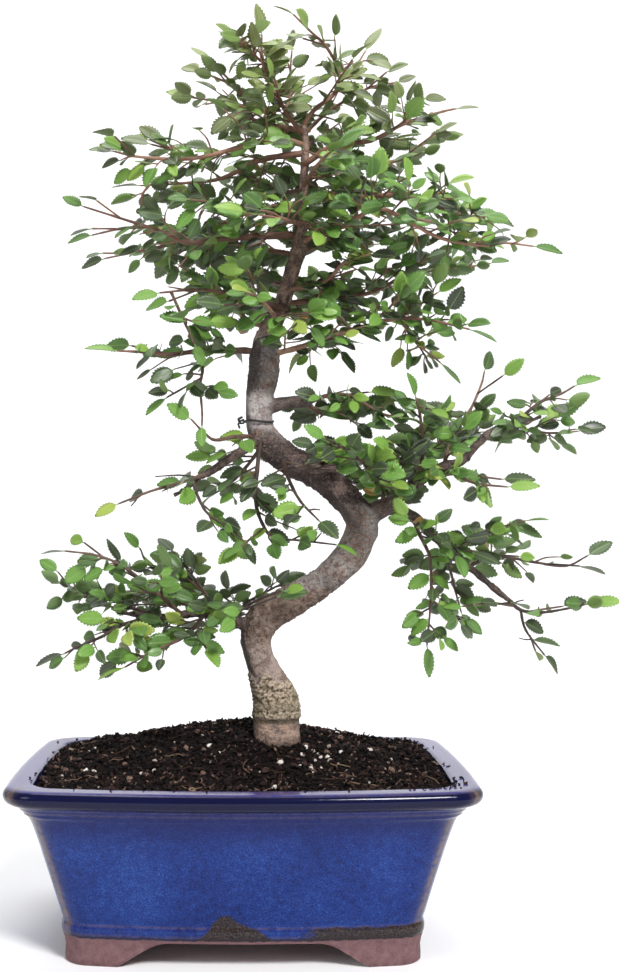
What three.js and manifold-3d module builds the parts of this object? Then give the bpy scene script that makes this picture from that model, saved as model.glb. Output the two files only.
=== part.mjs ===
// A small elm grown as a bonsai, standing in a glazed rectangular pot.
// Millimetres, +Z up. Everything is placed from the pot's own centre on the ground, and the
// whole is moved at the end so that the origin is the middle of the foot of its box.
import * as THREE from "three";
import { mergeVertices } from "three/addons/utils/BufferGeometryUtils.js";
import Module from "manifold-3d";

const wasm = await Module();
wasm.setup();

// Pot
const POT_HALF_WIDTH = 106;
const POT_HALF_DEPTH = 82;
const POT_HEIGHT = 81.5;
const POT_SIDE_BOW = 2.5;
const POT_FRONT_BOW = 9;
const POT_CORNER_RADIUS = 13;
const POT_DEPTH_TAPER = 1.08;
// How far the outside stands in from the rim, and at what height, from the foot up to the rim.
const POT_OUTSIDE = [
  [24.7, 0],
  [24.8, 9],
  [23.3, 13.5],
  [23.3, 17.8],
  [23.3, 20.8],
  [19.4, 35],
  [12.0, 61],
  [8.8, 68.5],
  [5.2, 72.8],
  [1.4, 75],
  [0, 78],
  [0.8, 80.5],
  [2.6, POT_HEIGHT],
];
// The same for the hollow, from its floor to above the rim.
const FLOOR_HEIGHT = 15;
const HOLLOW = [
  [34, FLOOR_HEIGHT],
  [30, 22],
  [18.2, 68],
  [12.6, 79.5],
  [11.4, POT_HEIGHT],
  [11.4, POT_HEIGHT + 5],
];
const UNDERSIDE_HEIGHT = 9.5;
const FOOT_THICKNESS = 8;
const FOOT_ARCH_HEIGHT = 11.5;
const FRONT_ARCH_TOP = 33;
const FRONT_ARCH_FOOT = 58;
const SIDE_ARCH_TOP = 18;
const SIDE_ARCH_FOOT = 38;
const DRAIN_HOLE_RADIUS = 9;
const DRAIN_HOLE_X = 36;
const SCREEN_SIZE = 30;
const SCREEN_THICKNESS = 1;
const SCREEN_MESH_HOLES = 2;
const SCREEN_BAR = 4;

// Soil
const SOIL_GAP = 0.35;
const SOIL_EDGE_HEIGHT = 79;
const SOIL_MOUND = { rise: 17.5, x: 0, y: 25, spreadX: 48, spreadY: 36 };
const SOIL_RINGS = [0.92, 0.68, 0.35];

// Wood
const TRUNK_HOLE_GAP = 0.4;
const TRUNK_FOOT_POINTS = 5;
const TRUNK_SIDES = 10;
const LIMB_SIDES = 5;
const BARK_RELIEF = 0.05;
const WOOD_CLEARANCE = 0.45;

// Foliage
const SEED = 20417;
const SIDE_TWIG_SPACING = 34;
const SIDE_TWIG_RADIUS = 0.5;
const TWIG_TIP_RADIUS = 0.5;
const LEAF_SPACING = 8.5;
const LEAVES_BUILT = 4;
const LEAF_TRIES = 7;
const LEAF_LENGTH = [10.5, 16];
const LEAF_WIDTH_SHARE = 0.52;
const LEAF_THICKNESS = 0.9;
const LEAF_ROOT_SUNK = 0.45;
const LEAF_CREST = 0.36;
const LEAF_FOLD = 0.2;
const LEAF_DROOP = 0.05;
const LEAF_CLEARANCE = 1.7;
const OWN_LEAF_CLEARANCE = 1.2;
const OWN_TWIG_ROOM = 0.5;
const OTHER_WOOD_ROOM = 1.5;
const LEAF_NUDGES = [0, 0.11, -0.13, 0.23];
const MAIN_TWIG_SIDES = 3;
const SIDE_TWIG_SIDES = 3;
const JOINING_TOLERANCE = 1.5e-3;
// Half of a blade's toothed edge: how far along it, and how wide, as shares of length and half width.
const LEAF_EDGE = [
  [0.2, 0.74],
  [0.44, 1.0],
  [0.5, 0.8],
  [0.73, 0.68],
];

const COLOURS = {
  glaze: 0x2b3f86,
  soil: 0x2a2020,
  screen: 0x222222,
  bark: 0x8a8279,
  leaf: 0x4b7a35,
};

// The trunk's centre line: x, y, z and radius.
const TRUNK = [
  [15, 4, 68, 11],
  [16, 4, 83, 11],
  [16.2, 4, 90, 11.3],
  [15.9, 4, 102, 10.8],
  [15.9, 4, 109, 10.4],
  [13.5, 4, 116.5, 9],
  [11, 3.5, 123, 7.7],
  [8, 3, 131, 7],
  [6.5, 2.5, 139.5, 7.2],
  [8.2, 2, 146.5, 7.8],
  [13, 1.5, 152.5, 8],
  [20, 1, 156.5, 7.8],
  [30, 0, 162.5, 7.2],
  [39.5, -1, 169, 6.9],
  [51, -2, 180, 7.7],
  [55.5, -2, 188.5, 7.8],
  [57.3, -1.5, 196, 7.8],
  [52.6, -0.5, 204.5, 6.7],
  [47, 0.5, 210.5, 7],
  [41, 2, 216.5, 7.2],
  [33, 3.5, 222, 7.2],
  [22.6, 4.5, 226.5, 6.9],
  [13.8, 4, 233.5, 7],
  [8.7, 3, 241, 6.5],
  [7.3, 2, 251.5, 6.6],
  [8.4, 1, 260.5, 6.8],
  [9.9, 0.5, 268.5, 7.2],
  [10.2, 0, 275, 7.2],
  [11.2, 0, 283, 6],
  [14.5, 0.5, 292.5, 4.7],
  [18.3, 1, 300.5, 3.8],
  [21.2, 1, 309.5, 3.6],
  [24.6, 1, 320, 3.6],
  [27.5, 0.5, 330, 3.6],
  [28.2, 0, 338, 3],
  [28.6, -0.5, 349.5, 2.4],
  [29.4, -1, 362.5, 2.2],
  [30, -1, 378.5, 2.1],
  [29, -1, 388, 1.8],
];

// The main limbs, which are one piece with the trunk: x, y, z and radius.
const LIMBS = [
  // the long limb to the right
  [
    [57, -1, 196, 6.4],
    [62.5, -1, 200.5, 5.6],
    [68.5, -1, 204, 5],
    [76, -1, 208, 4],
    [82, -2, 214, 3.3],
    [88, -2, 219, 2.9],
    [95, -3, 223, 2.5],
    [105, -4, 226, 2.2],
    [114, -5, 236, 1.9],
    [124, -6, 242.5, 1.6],
    [135, -6, 244, 1.3],
    [142, -7, 247, 1],
  ],
  // the limb that hangs below it
  [
    [66, 0, 203, 3.6],
    [74, 1, 202.5, 3.2],
    [83, 2, 199, 2.9],
    [89.5, 3, 192.5, 2.7],
    [98, 4, 185, 2.4],
    [105, 5, 178, 2.2],
    [112, 5, 173, 2],
    [124, 6, 163, 1.6],
    [131, 6, 157.5, 1.2],
  ],
  // the short cut stub
  [
    [10, 1, 251.5, 4.4],
    [20, 0, 254, 3.4],
    [28, -0.5, 254.5, 3],
    [33.5, -1, 254.5, 2.7],
  ],
  // the limb to the middle left
  [
    [10, 1, 237.5, 3.4],
    [-1.5, -1, 230.5, 2.5],
    [-9, -2, 225.5, 2.2],
    [-15, -3, 221, 2],
    [-21, -3, 218, 1.7],
    [-26, -4, 213.5, 1.4],
    [-33, -5, 209, 1.1],
  ],
  // the limb under the lower left foliage
  [
    [7, 2, 144.5, 4.4],
    [0, 1, 147.5, 3.6],
    [-5, 0, 149.5, 3.2],
    [-12, 0, 151, 2.8],
    [-21, 0, 153, 2.4],
    [-30, -1, 152, 2],
    [-40, -1, 151, 1.6],
    [-50, 0, 152, 1.2],
    [-59, 1, 153, 0.9],
  ],
];

// The leafy sprays. Each has its main twig first and then the twigs that fork from it, and each
// twig its radius at the root and the points of its route.
const SPRAYS = {
  crown_left_low: [
    twig(
      2.2,
      [9, 3, 278], [1, -2, 279], [-20, -14, 277], [-34, -24, 274], [-47, -32, 274], [-57, -36, 274],
    ),
    twig(1.0, [-19, -13, 277], [-19, -17, 267], [-20, -19, 260], [-19, -22, 248], [-19, -24, 241]),
  ],
  crown_left_b: [
    twig(2.0, [16, 0, 291], [3, 4, 294], [-7, 12, 305], [-20, 20, 316], [-32, 27, 326]),
    twig(1.0, [-19, 19, 315], [-17, 21, 326], [-17, 24, 338]),
  ],
  crown_left_c: [
    twig(1.6, [19, -3, 299], [-1, -14, 303], [-20, -24, 304], [-38, -32, 301]),
    twig(0.9, [-33, -29, 302], [-26, -34, 286], [-22, -36, 277]),
  ],
  crown_left_mid: [
    twig(
      2.2,
      [24, 0, 335], [1, -4, 333], [-13, -8, 331], [-27, -10, 329], [-39, -12, 334],
      [-56, -14, 339], [-75, -14, 345],
    ),
    twig(1.0, [-44, -12, 336], [-58, -8, 336], [-72, -4, 334]),
  ],
  crown_left_back: [
    twig(1.6, [26, 3, 326], [-4, 22, 335], [-35, 34, 338], [-58, 44, 336], [-72, 48, 334]),
  ],
  crown_left_e: [
    twig(1.5, [28, -2, 350], [9, -12, 345], [-8, -26, 343], [-24, -38, 342]),
  ],
  crown_left_f: [
    twig(2.0, [29, -1, 374], [9, 6, 373], [-4, 14, 369], [-14, 20, 367], [-32, 26, 367], [-52, 30, 367]),
    twig(0.9, [-47, 28, 367], [-51, 30, 362], [-51, 32, 355]),
  ],
  crown_left_g: [
    twig(
      1.8,
      [29, -1, 378], [15, -8, 379], [-4, -18, 371], [-24, -26, 364], [-47, -32, 363],
      [-59, -34, 365],
    ),
    twig(0.9, [-18, -22, 365], [-32, -16, 371], [-44, -12, 377]),
  ],
  crown_left_h: [
    twig(1.6, [29, 0, 385], [6, 3, 391], [-4, 8, 400], [-25, 14, 406]),
    twig(0.9, [1, 5, 395], [-1, 10, 408], [-14, 14, 416], [-21, 18, 420]),
  ],
  crown_top_left: [
    twig(1.5, [29, -1, 383], [21, -7, 391], [12, -6, 408], [9, -5, 421], [9, -6, 429]),
    twig(0.9, [11, -5, 415], [2, -8, 421], [-4, -12, 425]),
    twig(1.1, [20, -7, 393], [23, 4, 403], [23, 8, 415], [24, 12, 428]),
  ],
  crown_top_right: [
    twig(
      1.5,
      [29, -1, 387], [34, -3, 394], [44, -4, 402], [46, -6, 410], [40, -8, 422], [31, -10, 430],
      [24, -10, 437],
    ),
    twig(0.9, [45, -5, 407], [53, -2, 414], [59, 2, 424]),
  ],
  crown_top_right_b: [
    twig(1.3, [30, 0, 384], [39, 12, 396], [51, 18, 406], [64, 22, 414], [77, 24, 417]),
  ],
  crown_right_a: [
    twig(
      1.8,
      [29, -2, 368], [44, -8, 376], [60, -14, 376], [75, -20, 382], [91, -24, 386], [98, -26, 387],
    ),
  ],
  crown_right_b: [
    twig(1.7, [30, 0, 362], [50, 10, 370], [78, 20, 377], [91, 26, 387], [101, 30, 392]),
  ],
  crown_right_c: [
    twig(
      2.0,
      [28, -1, 352], [56, -8, 351], [79, -12, 351], [93, -12, 345], [98, -10, 337], [97, -8, 325],
    ),
    twig(1.0, [96, -11, 343], [104, -14, 341], [115, -18, 339]),
  ],
  crown_right_d: [
    twig(
      1.7,
      [28, 0, 331], [39, -14, 335], [47, -26, 333], [61, -34, 339], [76, -36, 332], [90, -32, 326],
      [110, -26, 324],
      [122, -22, 326], [135, -20, 325],
    ),
  ],
  crown_right_f: [
    twig(1.5, [27, 1, 326], [41, 18, 335], [59, 32, 341], [81, 44, 341]),
  ],
  crown_right_g: [
    twig(1.6, [21, 0, 308], [39, -10, 311], [48, -20, 318], [58, -30, 319]),
  ],
  crown_right_h: [
    twig(1.6, [19, 1, 302], [48, 12, 307], [66, 22, 312], [84, 28, 322], [106, 32, 325], [126, 36, 329]),
  ],
  crown_right_low: [
    twig(
      1.8,
      [12, 0, 277], [27, -6, 280], [46, -10, 286], [65, -12, 291], [74, -14, 293], [91, -16, 304],
    ),
    twig(1.0, [72, -13, 293], [87, -18, 291], [105, -22, 286]),
    twig(0.9, [75, -14, 293], [80, -12, 283], [93, -12, 272]),
  ],
  crown_front_a: [
    twig(1.5, [17, -1, 294], [13, -28, 293], [8, -52, 294], [3, -70, 294]),
  ],
  crown_front_b: [
    twig(1.5, [28, -1, 340], [22, -30, 334], [17, -56, 329], [14, -72, 325]),
  ],
  crown_front_c: [
    twig(1.4, [29, -2, 358], [32, -26, 358], [35, -48, 357], [38, -60, 357]),
  ],
  crown_back_a: [
    twig(1.6, [17, 2, 298], [29, 30, 305], [39, 54, 316], [47, 74, 326]),
  ],
  crown_back_b: [
    twig(1.6, [22, 2, 311], [10, 34, 320], [-2, 58, 331], [-11, 76, 338]),
  ],
  crown_back_c: [
    twig(1.5, [28, 0, 343], [38, 30, 354], [50, 54, 366], [59, 70, 374]),
  ],
  crown_back_d: [
    twig(1.5, [29, 0, 357], [19, 28, 363], [6, 48, 375], [-4, 62, 383]),
  ],
  crown_back_e: [
    twig(1.3, [30, 0, 378], [37, 22, 388], [49, 38, 401]),
  ],
  middle_left_a: [
    twig(1.4, [6, 1, 238], [-4, -10, 237], [-13, -16, 235], [-18, -20, 238], [-24, -24, 244]),
  ],
  middle_left_b: [
    twig(1.2, [-18, -3, 219.5], [-30, -12, 215], [-43, -18, 211], [-58, -20, 205]),
    twig(1.0, [-24, -8, 217], [-21, -12, 208], [-16, -15, 200], [-4, -16, 192], [0, -16, 187]),
  ],
  middle_left_d: [
    twig(1.3, [11, 4, 236], [3, 20, 226], [-6, 34, 217], [-16, 44, 211]),
  ],
  middle_left_e: [
    twig(1.4, [19, 3, 228], [21, -22, 217], [26, -34, 206], [34, -42, 197]),
  ],
  middle_left_f: [
    twig(
      1.4,
      [9, 1, 239], [7, -9, 224], [6, -11, 206], [10, -17, 194], [15, -20, 189], [26, -22, 188],
      [43, -24, 186],
    ),
  ],
  pad_left_a: [
    twig(1.3, [-12, 0, 151], [-17, 5, 160], [-26, 10, 172], [-34, 14, 182]),
    twig(0.9, [-26, 10, 171], [-45, 6, 176], [-50, 4, 184]),
  ],
  pad_left_b: [
    twig(1.2, [-29, -1, 152], [-42, -10, 164], [-57, -14, 176], [-69, -16, 181], [-83, -18, 183]),
  ],
  pad_left_c: [
    twig(1.2, [-40, 0, 151], [-55, 10, 155], [-68, 14, 161], [-81, 18, 160], [-92, 20, 172]),
  ],
  pad_left_d: [
    twig(1.2, [-44, -1, 151], [-57, -12, 148], [-66, -20, 143], [-76, -24, 139], [-82, -26, 136]),
  ],
  pad_left_e: [
    twig(1.3, [-18, 0, 153], [-27, -14, 143], [-43, -24, 136], [-54, -30, 130]),
  ],
  pad_left_f: [
    twig(1.2, [-8, 0, 150], [1, -20, 157], [9, -34, 162], [19, -44, 166]),
  ],
  pad_left_g: [
    twig(1.3, [-16, 0, 152], [-26, 22, 155], [-40, 40, 157], [-55, 54, 160]),
  ],
  pad_left_h: [
    twig(1.2, [-3, 1, 149], [1, 20, 156], [13, 36, 162], [24, 48, 167]),
  ],
  middle_right_a: [
    twig(1.4, [32, -1, 254.5], [41, -6, 257], [51, -12, 256], [64, -16, 248], [73, -20, 245]),
  ],
  middle_right_b: [
    twig(1.3, [29, 0, 254], [40, 14, 250], [53, 26, 252], [67, 36, 258]),
  ],
  middle_right_c: [
    twig(1.4, [69, -1, 205], [60, -20, 219], [50, -32, 228], [37, -40, 234]),
  ],
  middle_right_d: [
    twig(1.4, [85, -2, 217], [85, -12, 231], [83, -18, 245], [80, -24, 254]),
  ],
  middle_right_e: [
    twig(1.3, [96, -3, 223], [103, 12, 239], [113, 22, 252], [120, 28, 266], [122, 30, 273]),
  ],
  middle_right_f: [
    twig(1.2, [123, -6, 242], [131, -12, 246], [140, -14, 253], [150, -12, 257], [157, -10, 261]),
    twig(1.0, [128, -9, 244], [138, 2, 241], [150, 6, 240], [163, 8, 241]),
  ],
  middle_right_h: [
    twig(1.4, [92, -2.5, 221.5], [97, -24, 219], [105, -36, 214], [118, -44, 212]),
  ],
  middle_right_i: [
    twig(1.4, [79, -1, 211], [86, 26, 225], [97, 46, 234], [110, 62, 239]),
  ],
  middle_right_j: [
    twig(1.3, [72, -1, 206], [69, 26, 217], [61, 44, 224], [54, 56, 229]),
  ],
  low_right_a: [
    twig(1.3, [82, 2, 199], [84, -10, 190], [88, -14, 179], [88, -16, 160], [86, -18, 139]),
  ],
  low_right_b: [
    twig(1.2, [128, 6, 160], [135, 6, 154], [144, 2, 153], [155, -2, 155], [166, -6, 158]),
    twig(0.9, [135, 6, 154], [138, 8, 144], [147, 8, 132]),
    twig(0.9, [132, 6, 156], [118, -8, 158], [103, -16, 157]),
  ],
  low_right_c: [
    twig(1.2, [109, 5, 175], [124, 12, 180], [144, 16, 177], [160, 18, 175], [171, 19, 180]),
  ],
  low_right_d: [
    twig(1.2, [101, 4.5, 182], [110, -10, 190], [120, -20, 194], [130, -26, 197]),
  ],
  low_right_e: [
    twig(1.2, [94, 4, 188], [102, 22, 178], [108, 34, 162], [112, 40, 151]),
  ],
};

function twig(radius, ...points) {
  return { radius, points };
}

// Small vector sums on plain [x, y, z] lists
function add(a, b, k = 1) {
  return [a[0] + b[0] * k, a[1] + b[1] * k, a[2] + b[2] * k];
}

function dot(a, b) {
  return a[0] * b[0] + a[1] * b[1] + a[2] * b[2];
}

function cross(a, b) {
  return [a[1] * b[2] - a[2] * b[1], a[2] * b[0] - a[0] * b[2], a[0] * b[1] - a[1] * b[0]];
}

function unit(a) {
  const size = Math.sqrt(dot(a, a));
  return [a[0] / size, a[1] / size, a[2] / size];
}

function distance(a, b) {
  const d = add(a, b, -1);
  return Math.sqrt(dot(d, d));
}

// A seeded source of numbers from 0 to 1
function randomSource(seed) {
  let state = seed >>> 0;
  return () => {
    state = (state + 0x6d2b79f5) >>> 0;
    let t = state;
    t = Math.imul(t ^ (t >>> 15), t | 1);
    t ^= t + Math.imul(t ^ (t >>> 7), t | 61);
    return ((t ^ (t >>> 14)) >>> 0) / 4294967296;
  };
}

// Solids
function solidOf(positions, faces) {
  const mesh = new wasm.Mesh({
    numProp: 3,
    vertProperties: new Float32Array(positions.flat()),
    triVerts: new Uint32Array(faces.flat()),
  });
  return new wasm.Manifold(mesh);
}

function solidOfGeometry(geometry) {
  geometry.deleteAttribute("normal");
  geometry.deleteAttribute("uv");
  const merged = mergeVertices(geometry, 1e-4);
  const faces = [];
  for (let i = 0; i < merged.index.count; i += 3) {
    const [a, b, c] = merged.index.array.slice(i, i + 3);
    if (a !== b && b !== c && c !== a) faces.push(a, b, c);
  }
  const mesh = new wasm.Mesh({
    numProp: 3,
    vertProperties: merged.attributes.position.array,
    triVerts: new Uint32Array(faces),
  });
  return new wasm.Manifold(mesh);
}

function geometryOf(solid) {
  const mesh = solid.getMesh();
  const geometry = new THREE.BufferGeometry();
  geometry.setAttribute("position", new THREE.BufferAttribute(mesh.vertProperties, 3));
  geometry.setIndex(new THREE.BufferAttribute(mesh.triVerts, 1));
  return geometry;
}

function joined(solids) {
  return wasm.Manifold.union(solids);
}

function largestBody(solid) {
  const bodies = solid.decompose();
  bodies.sort((a, b) => b.volume() - a.volume());
  return bodies[0];
}

// A closed skin over loops that have the same number of points, with a flat fan at each end.
function skin(loops) {
  const count = loops[0].length;
  const last = (loops.length - 1) * count;
  const faces = [];
  for (let i = 0; i + 1 < loops.length; i++) {
    for (let j = 0; j < count; j++) {
      const a = i * count + j;
      const b = i * count + ((j + 1) % count);
      faces.push([a, b, b + count], [a, b + count, a + count]);
    }
  }
  for (let j = 1; j + 1 < count; j++) {
    faces.push([0, j + 1, j], [last, last + j, last + j + 1]);
  }
  return solidOf(loops.flat(), faces);
}

// The direction of a route at each of its points
function tangents(points) {
  return points.map((p, i) => {
    const before = points[Math.max(i - 1, 0)];
    const after = points[Math.min(i + 1, points.length - 1)];
    return unit(add(after, before, -1));
  });
}

// A round stem along a route, whose section doesn't twist. relief gives a radius its unevenness.
function stem(points, radii, sides, relief = () => 1) {
  const along = tangents(points);
  let side = Math.abs(along[0][1]) < 0.9 ? [0, 1, 0] : [1, 0, 0];
  const loops = points.map((p, i) => {
    side = unit(add(side, along[i], -dot(side, along[i])));
    const other = cross(along[i], side);
    const loop = [];
    for (let j = 0; j < sides; j++) {
      const turn = (2 * Math.PI * j) / sides;
      const r = radii[i] * relief(turn, i);
      loop.push(add(add(p, side, r * Math.cos(turn)), other, r * Math.sin(turn)));
    }
    return loop;
  });
  return skin(loops);
}

// The pot
// A loop of the pot's plan, inset from the rim: a rectangle with bowed sides and round corners.
function potLoop(inset, z, gap = 0) {
  const SIDE_STEPS = 4;
  const CORNER_STEPS = 3;
  const shrink = 1 - inset / POT_HALF_WIDTH;
  const bowX = POT_SIDE_BOW * shrink;
  const bowY = POT_FRONT_BOW * shrink;
  const a = POT_HALF_WIDTH - inset - gap - bowX;
  const b = POT_HALF_DEPTH - inset * POT_DEPTH_TAPER - gap - bowY;
  const r = POT_CORNER_RADIUS * shrink;
  const flat = [];
  const corners = [
    [a - r, -b + r, -90],
    [a - r, b - r, 0],
    [-a + r, b - r, 90],
    [-a + r, -b + r, 180],
  ];
  corners.forEach(([cx, cy, start], i) => {
    for (let k = 0; k <= CORNER_STEPS; k++) {
      const turn = THREE.MathUtils.degToRad(start + (90 * k) / CORNER_STEPS);
      flat.push([cx + r * Math.cos(turn), cy + r * Math.sin(turn)]);
    }
    const from = flat[flat.length - 1];
    const [nx, ny, next] = corners[(i + 1) % 4];
    const turn = THREE.MathUtils.degToRad(next);
    const to = [nx + r * Math.cos(turn), ny + r * Math.sin(turn)];
    for (let k = 1; k < SIDE_STEPS; k++) {
      const t = k / SIDE_STEPS;
      flat.push([from[0] + (to[0] - from[0]) * t, from[1] + (to[1] - from[1]) * t]);
    }
  });
  return flat.map(([x, y]) => [
    x + (bowX * (1 - (y / b) ** 2) * x) / a,
    y + (bowY * (1 - (x / a) ** 2) * y) / b,
    z,
  ]);
}

// The curved gap between two feet, as a flat shape that is pushed through the foot ring. It rises
// from the foot in a low curl to a knee halfway in, and from there to its flat top.
function archCutter(top, foot, length) {
  const CURL_START = [6, 1];
  const CURL_END = [8, 4];
  const TOP_EASE = 5;
  const BELOW_GROUND = -2;
  const kneeX = (foot + top) / 2;
  const kneeZ = FOOT_ARCH_HEIGHT * 0.55;
  const shape = new THREE.Shape();
  shape.moveTo(-foot, BELOW_GROUND);
  shape.lineTo(-foot, 0);
  shape.bezierCurveTo(-foot + CURL_START[0], CURL_START[1], -foot + CURL_END[0], CURL_END[1], -kneeX, kneeZ);
  shape.quadraticCurveTo(-top - TOP_EASE, FOOT_ARCH_HEIGHT, -top, FOOT_ARCH_HEIGHT);
  shape.lineTo(top, FOOT_ARCH_HEIGHT);
  shape.quadraticCurveTo(top + TOP_EASE, FOOT_ARCH_HEIGHT, kneeX, kneeZ);
  shape.bezierCurveTo(foot - CURL_END[0], CURL_END[1], foot - CURL_START[0], CURL_START[1], foot, 0);
  shape.lineTo(foot, BELOW_GROUND);
  shape.closePath();
  const geometry = new THREE.ExtrudeGeometry(shape, { depth: length, bevelEnabled: false, curveSegments: 2 });
  geometry.translate(0, 0, -length / 2);
  geometry.rotateX(Math.PI / 2);
  return geometry;
}

function makePot() {
  const outside = skin(POT_OUTSIDE.map(([inset, z]) => potLoop(inset, z)));
  const hollow = skin(HOLLOW.map(([inset, z]) => potLoop(inset, z)));
  const footInset = POT_OUTSIDE[0][0] + FOOT_THICKNESS;
  const recess = skin([potLoop(footInset, -2), potLoop(footInset + 1, UNDERSIDE_HEIGHT)]);
  const frontArch = solidOfGeometry(archCutter(FRONT_ARCH_TOP, FRONT_ARCH_FOOT, 3 * POT_HALF_DEPTH));
  const sideGeometry = archCutter(SIDE_ARCH_TOP, SIDE_ARCH_FOOT, 3 * POT_HALF_WIDTH);
  const sideArch = solidOfGeometry(sideGeometry.rotateZ(Math.PI / 2));
  // The arches only cut the foot ring, so what lies above the underside inside it stays.
  const ringOnly = skin([potLoop(footInset + 1, UNDERSIDE_HEIGHT), potLoop(footInset + 1, 2 * FLOOR_HEIGHT)]);
  let pot = outside.subtract(hollow).subtract(recess);
  pot = pot.subtract(frontArch.subtract(ringOnly)).subtract(sideArch.subtract(ringOnly));
  for (const x of [-DRAIN_HOLE_X, DRAIN_HOLE_X]) {
    const drain = new THREE.CylinderGeometry(DRAIN_HOLE_RADIUS, DRAIN_HOLE_RADIUS, 3 * FLOOR_HEIGHT, 16);
    drain.rotateX(Math.PI / 2).translate(x, 0, 0);
    pot = pot.subtract(solidOfGeometry(drain));
  }
  return pot;
}

// A square of plastic mesh over a drain hole, on the pot's floor
function makeScreen(x) {
  const middle = FLOOR_HEIGHT + SOIL_GAP + SCREEN_THICKNESS / 2;
  const plate = new THREE.BoxGeometry(SCREEN_SIZE, SCREEN_SIZE, SCREEN_THICKNESS);
  let screen = solidOfGeometry(plate.translate(x, 0, middle));
  const pitch = (SCREEN_SIZE - SCREEN_BAR) / SCREEN_MESH_HOLES;
  const first = -(pitch * (SCREEN_MESH_HOLES - 1)) / 2;
  for (let i = 0; i < SCREEN_MESH_HOLES; i++) {
    for (let j = 0; j < SCREEN_MESH_HOLES; j++) {
      const hole = new THREE.BoxGeometry(pitch - SCREEN_BAR, pitch - SCREEN_BAR, 3 * SCREEN_THICKNESS);
      hole.translate(x + first + i * pitch, first + j * pitch, middle);
      screen = screen.subtract(solidOfGeometry(hole));
    }
  }
  return screen;
}

// The soil
function soilHeight(x, y) {
  const dx = (x - SOIL_MOUND.x) / SOIL_MOUND.spreadX;
  const dy = (y - SOIL_MOUND.y) / SOIL_MOUND.spreadY;
  return SOIL_EDGE_HEIGHT + SOIL_MOUND.rise * Math.exp(-(dx * dx + dy * dy) / 2);
}

function makeSoil() {
  const bottom = FLOOR_HEIGHT + 2 * SOIL_GAP + SCREEN_THICKNESS;
  const [floor, low, high, rim] = HOLLOW;
  const wallTop = SOIL_EDGE_HEIGHT - 1;
  const risen = (wallTop - high[1]) / (rim[1] - high[1]);
  const edge = potLoop(high[0] + (rim[0] - high[0]) * risen, wallTop, SOIL_GAP);
  const loops = [
    potLoop(floor[0], bottom, SOIL_GAP),
    potLoop(low[0], low[1], SOIL_GAP),
    potLoop(high[0], high[1], SOIL_GAP),
    edge,
  ];
  for (const share of SOIL_RINGS) {
    loops.push(
      edge.map(([ex, ey]) => {
        const x = SOIL_MOUND.x + (ex - SOIL_MOUND.x) * share;
        const y = SOIL_MOUND.y * (1 - share) + ey * share;
        return [x, y, soilHeight(x, y)];
      }),
    );
  }
  const foot = TRUNK.slice(0, TRUNK_FOOT_POINTS);
  return skin(loops).subtract(trunkSolid(TRUNK_HOLE_GAP, foot));
}

// The wood
function barkRelief(turn, i) {
  return 1 + BARK_RELIEF * (Math.sin(3 * turn + 1.7 * i) + 0.6 * Math.sin(5 * turn - 2.3 * i));
}

function trunkSolid(extra, route) {
  const points = route.map((p) => p.slice(0, 3));
  const radii = route.map((p) => p[3] + extra);
  return stem(points, radii, TRUNK_SIDES, barkRelief);
}

function makeWood(extra) {
  const pieces = [trunkSolid(extra, TRUNK)];
  for (const limb of LIMBS) {
    const points = limb.map((p) => p.slice(0, 3));
    const radii = limb.map((p) => p[3] + extra);
    pieces.push(stem(points, radii, LIMB_SIDES));
  }
  return joined(pieces);
}

// Where a place along a route lies, and the route's direction there
function placeAt(points, length) {
  let left = length;
  for (let i = 0; i + 1 < points.length; i++) {
    const step = distance(points[i], points[i + 1]);
    if (left <= step || i + 2 === points.length) {
      const along = unit(add(points[i + 1], points[i], -1));
      return { at: add(points[i], along, Math.min(left, step)), along };
    }
    left -= step;
  }
}

function routeLength(points) {
  let length = 0;
  for (let i = 0; i + 1 < points.length; i++) length += distance(points[i], points[i + 1]);
  return length;
}

// The shortest distance between two straight stretches
function stretchDistance(p, q, r, s) {
  const d1 = add(q, p, -1);
  const d2 = add(s, r, -1);
  const between = add(p, r, -1);
  const a = dot(d1, d1);
  const e = dot(d2, d2);
  const f = dot(d2, between);
  const c = dot(d1, between);
  const b = dot(d1, d2);
  const scale = a * e - b * b;
  let t = scale > 1e-9 ? Math.min(Math.max((b * f - c * e) / scale, 0), 1) : 0;
  let u = e > 1e-9 ? (b * t + f) / e : 0;
  if (u < 0) {
    u = 0;
    t = Math.min(Math.max(-c / a, 0), 1);
  } else if (u > 1) {
    u = 1;
    t = Math.min(Math.max((b - c) / a, 0), 1);
  }
  return distance(add(p, d1, t), add(r, d2, u));
}

function pointToStretch(p, r, s) {
  const d = add(s, r, -1);
  const t = Math.min(Math.max(dot(add(p, r, -1), d) / dot(d, d), 0), 1);
  return distance(p, add(r, d, t));
}

// All the round stretches that foliage has to keep clear of, each with its spray's name
function stretchesOf(points, radii, owner) {
  const list = [];
  for (let i = 0; i + 1 < points.length; i++) {
    list.push({ from: points[i], to: points[i + 1], radius: Math.max(radii[i], radii[i + 1]), owner });
  }
  return list;
}

function taper(radius, count) {
  const radii = [];
  for (let i = 0; i < count; i++) {
    radii.push(radius + (Math.min(TWIG_TIP_RADIUS, radius) - radius) * (i / (count - 1)));
  }
  return radii;
}

// The level direction across a twig
function acrossOf(along) {
  const flat = [along[1], -along[0], 0];
  return Math.abs(along[2]) > 0.93 ? unit(cross(along, [0, 1, 0])) : unit(flat);
}

// A leaf's own directions: out along the blade, its normal and its side
function leafFrame(out, facing) {
  const length = unit(out);
  const normal = unit(add(facing, length, -dot(facing, length)));
  return { length, normal, side: cross(normal, length) };
}

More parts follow.
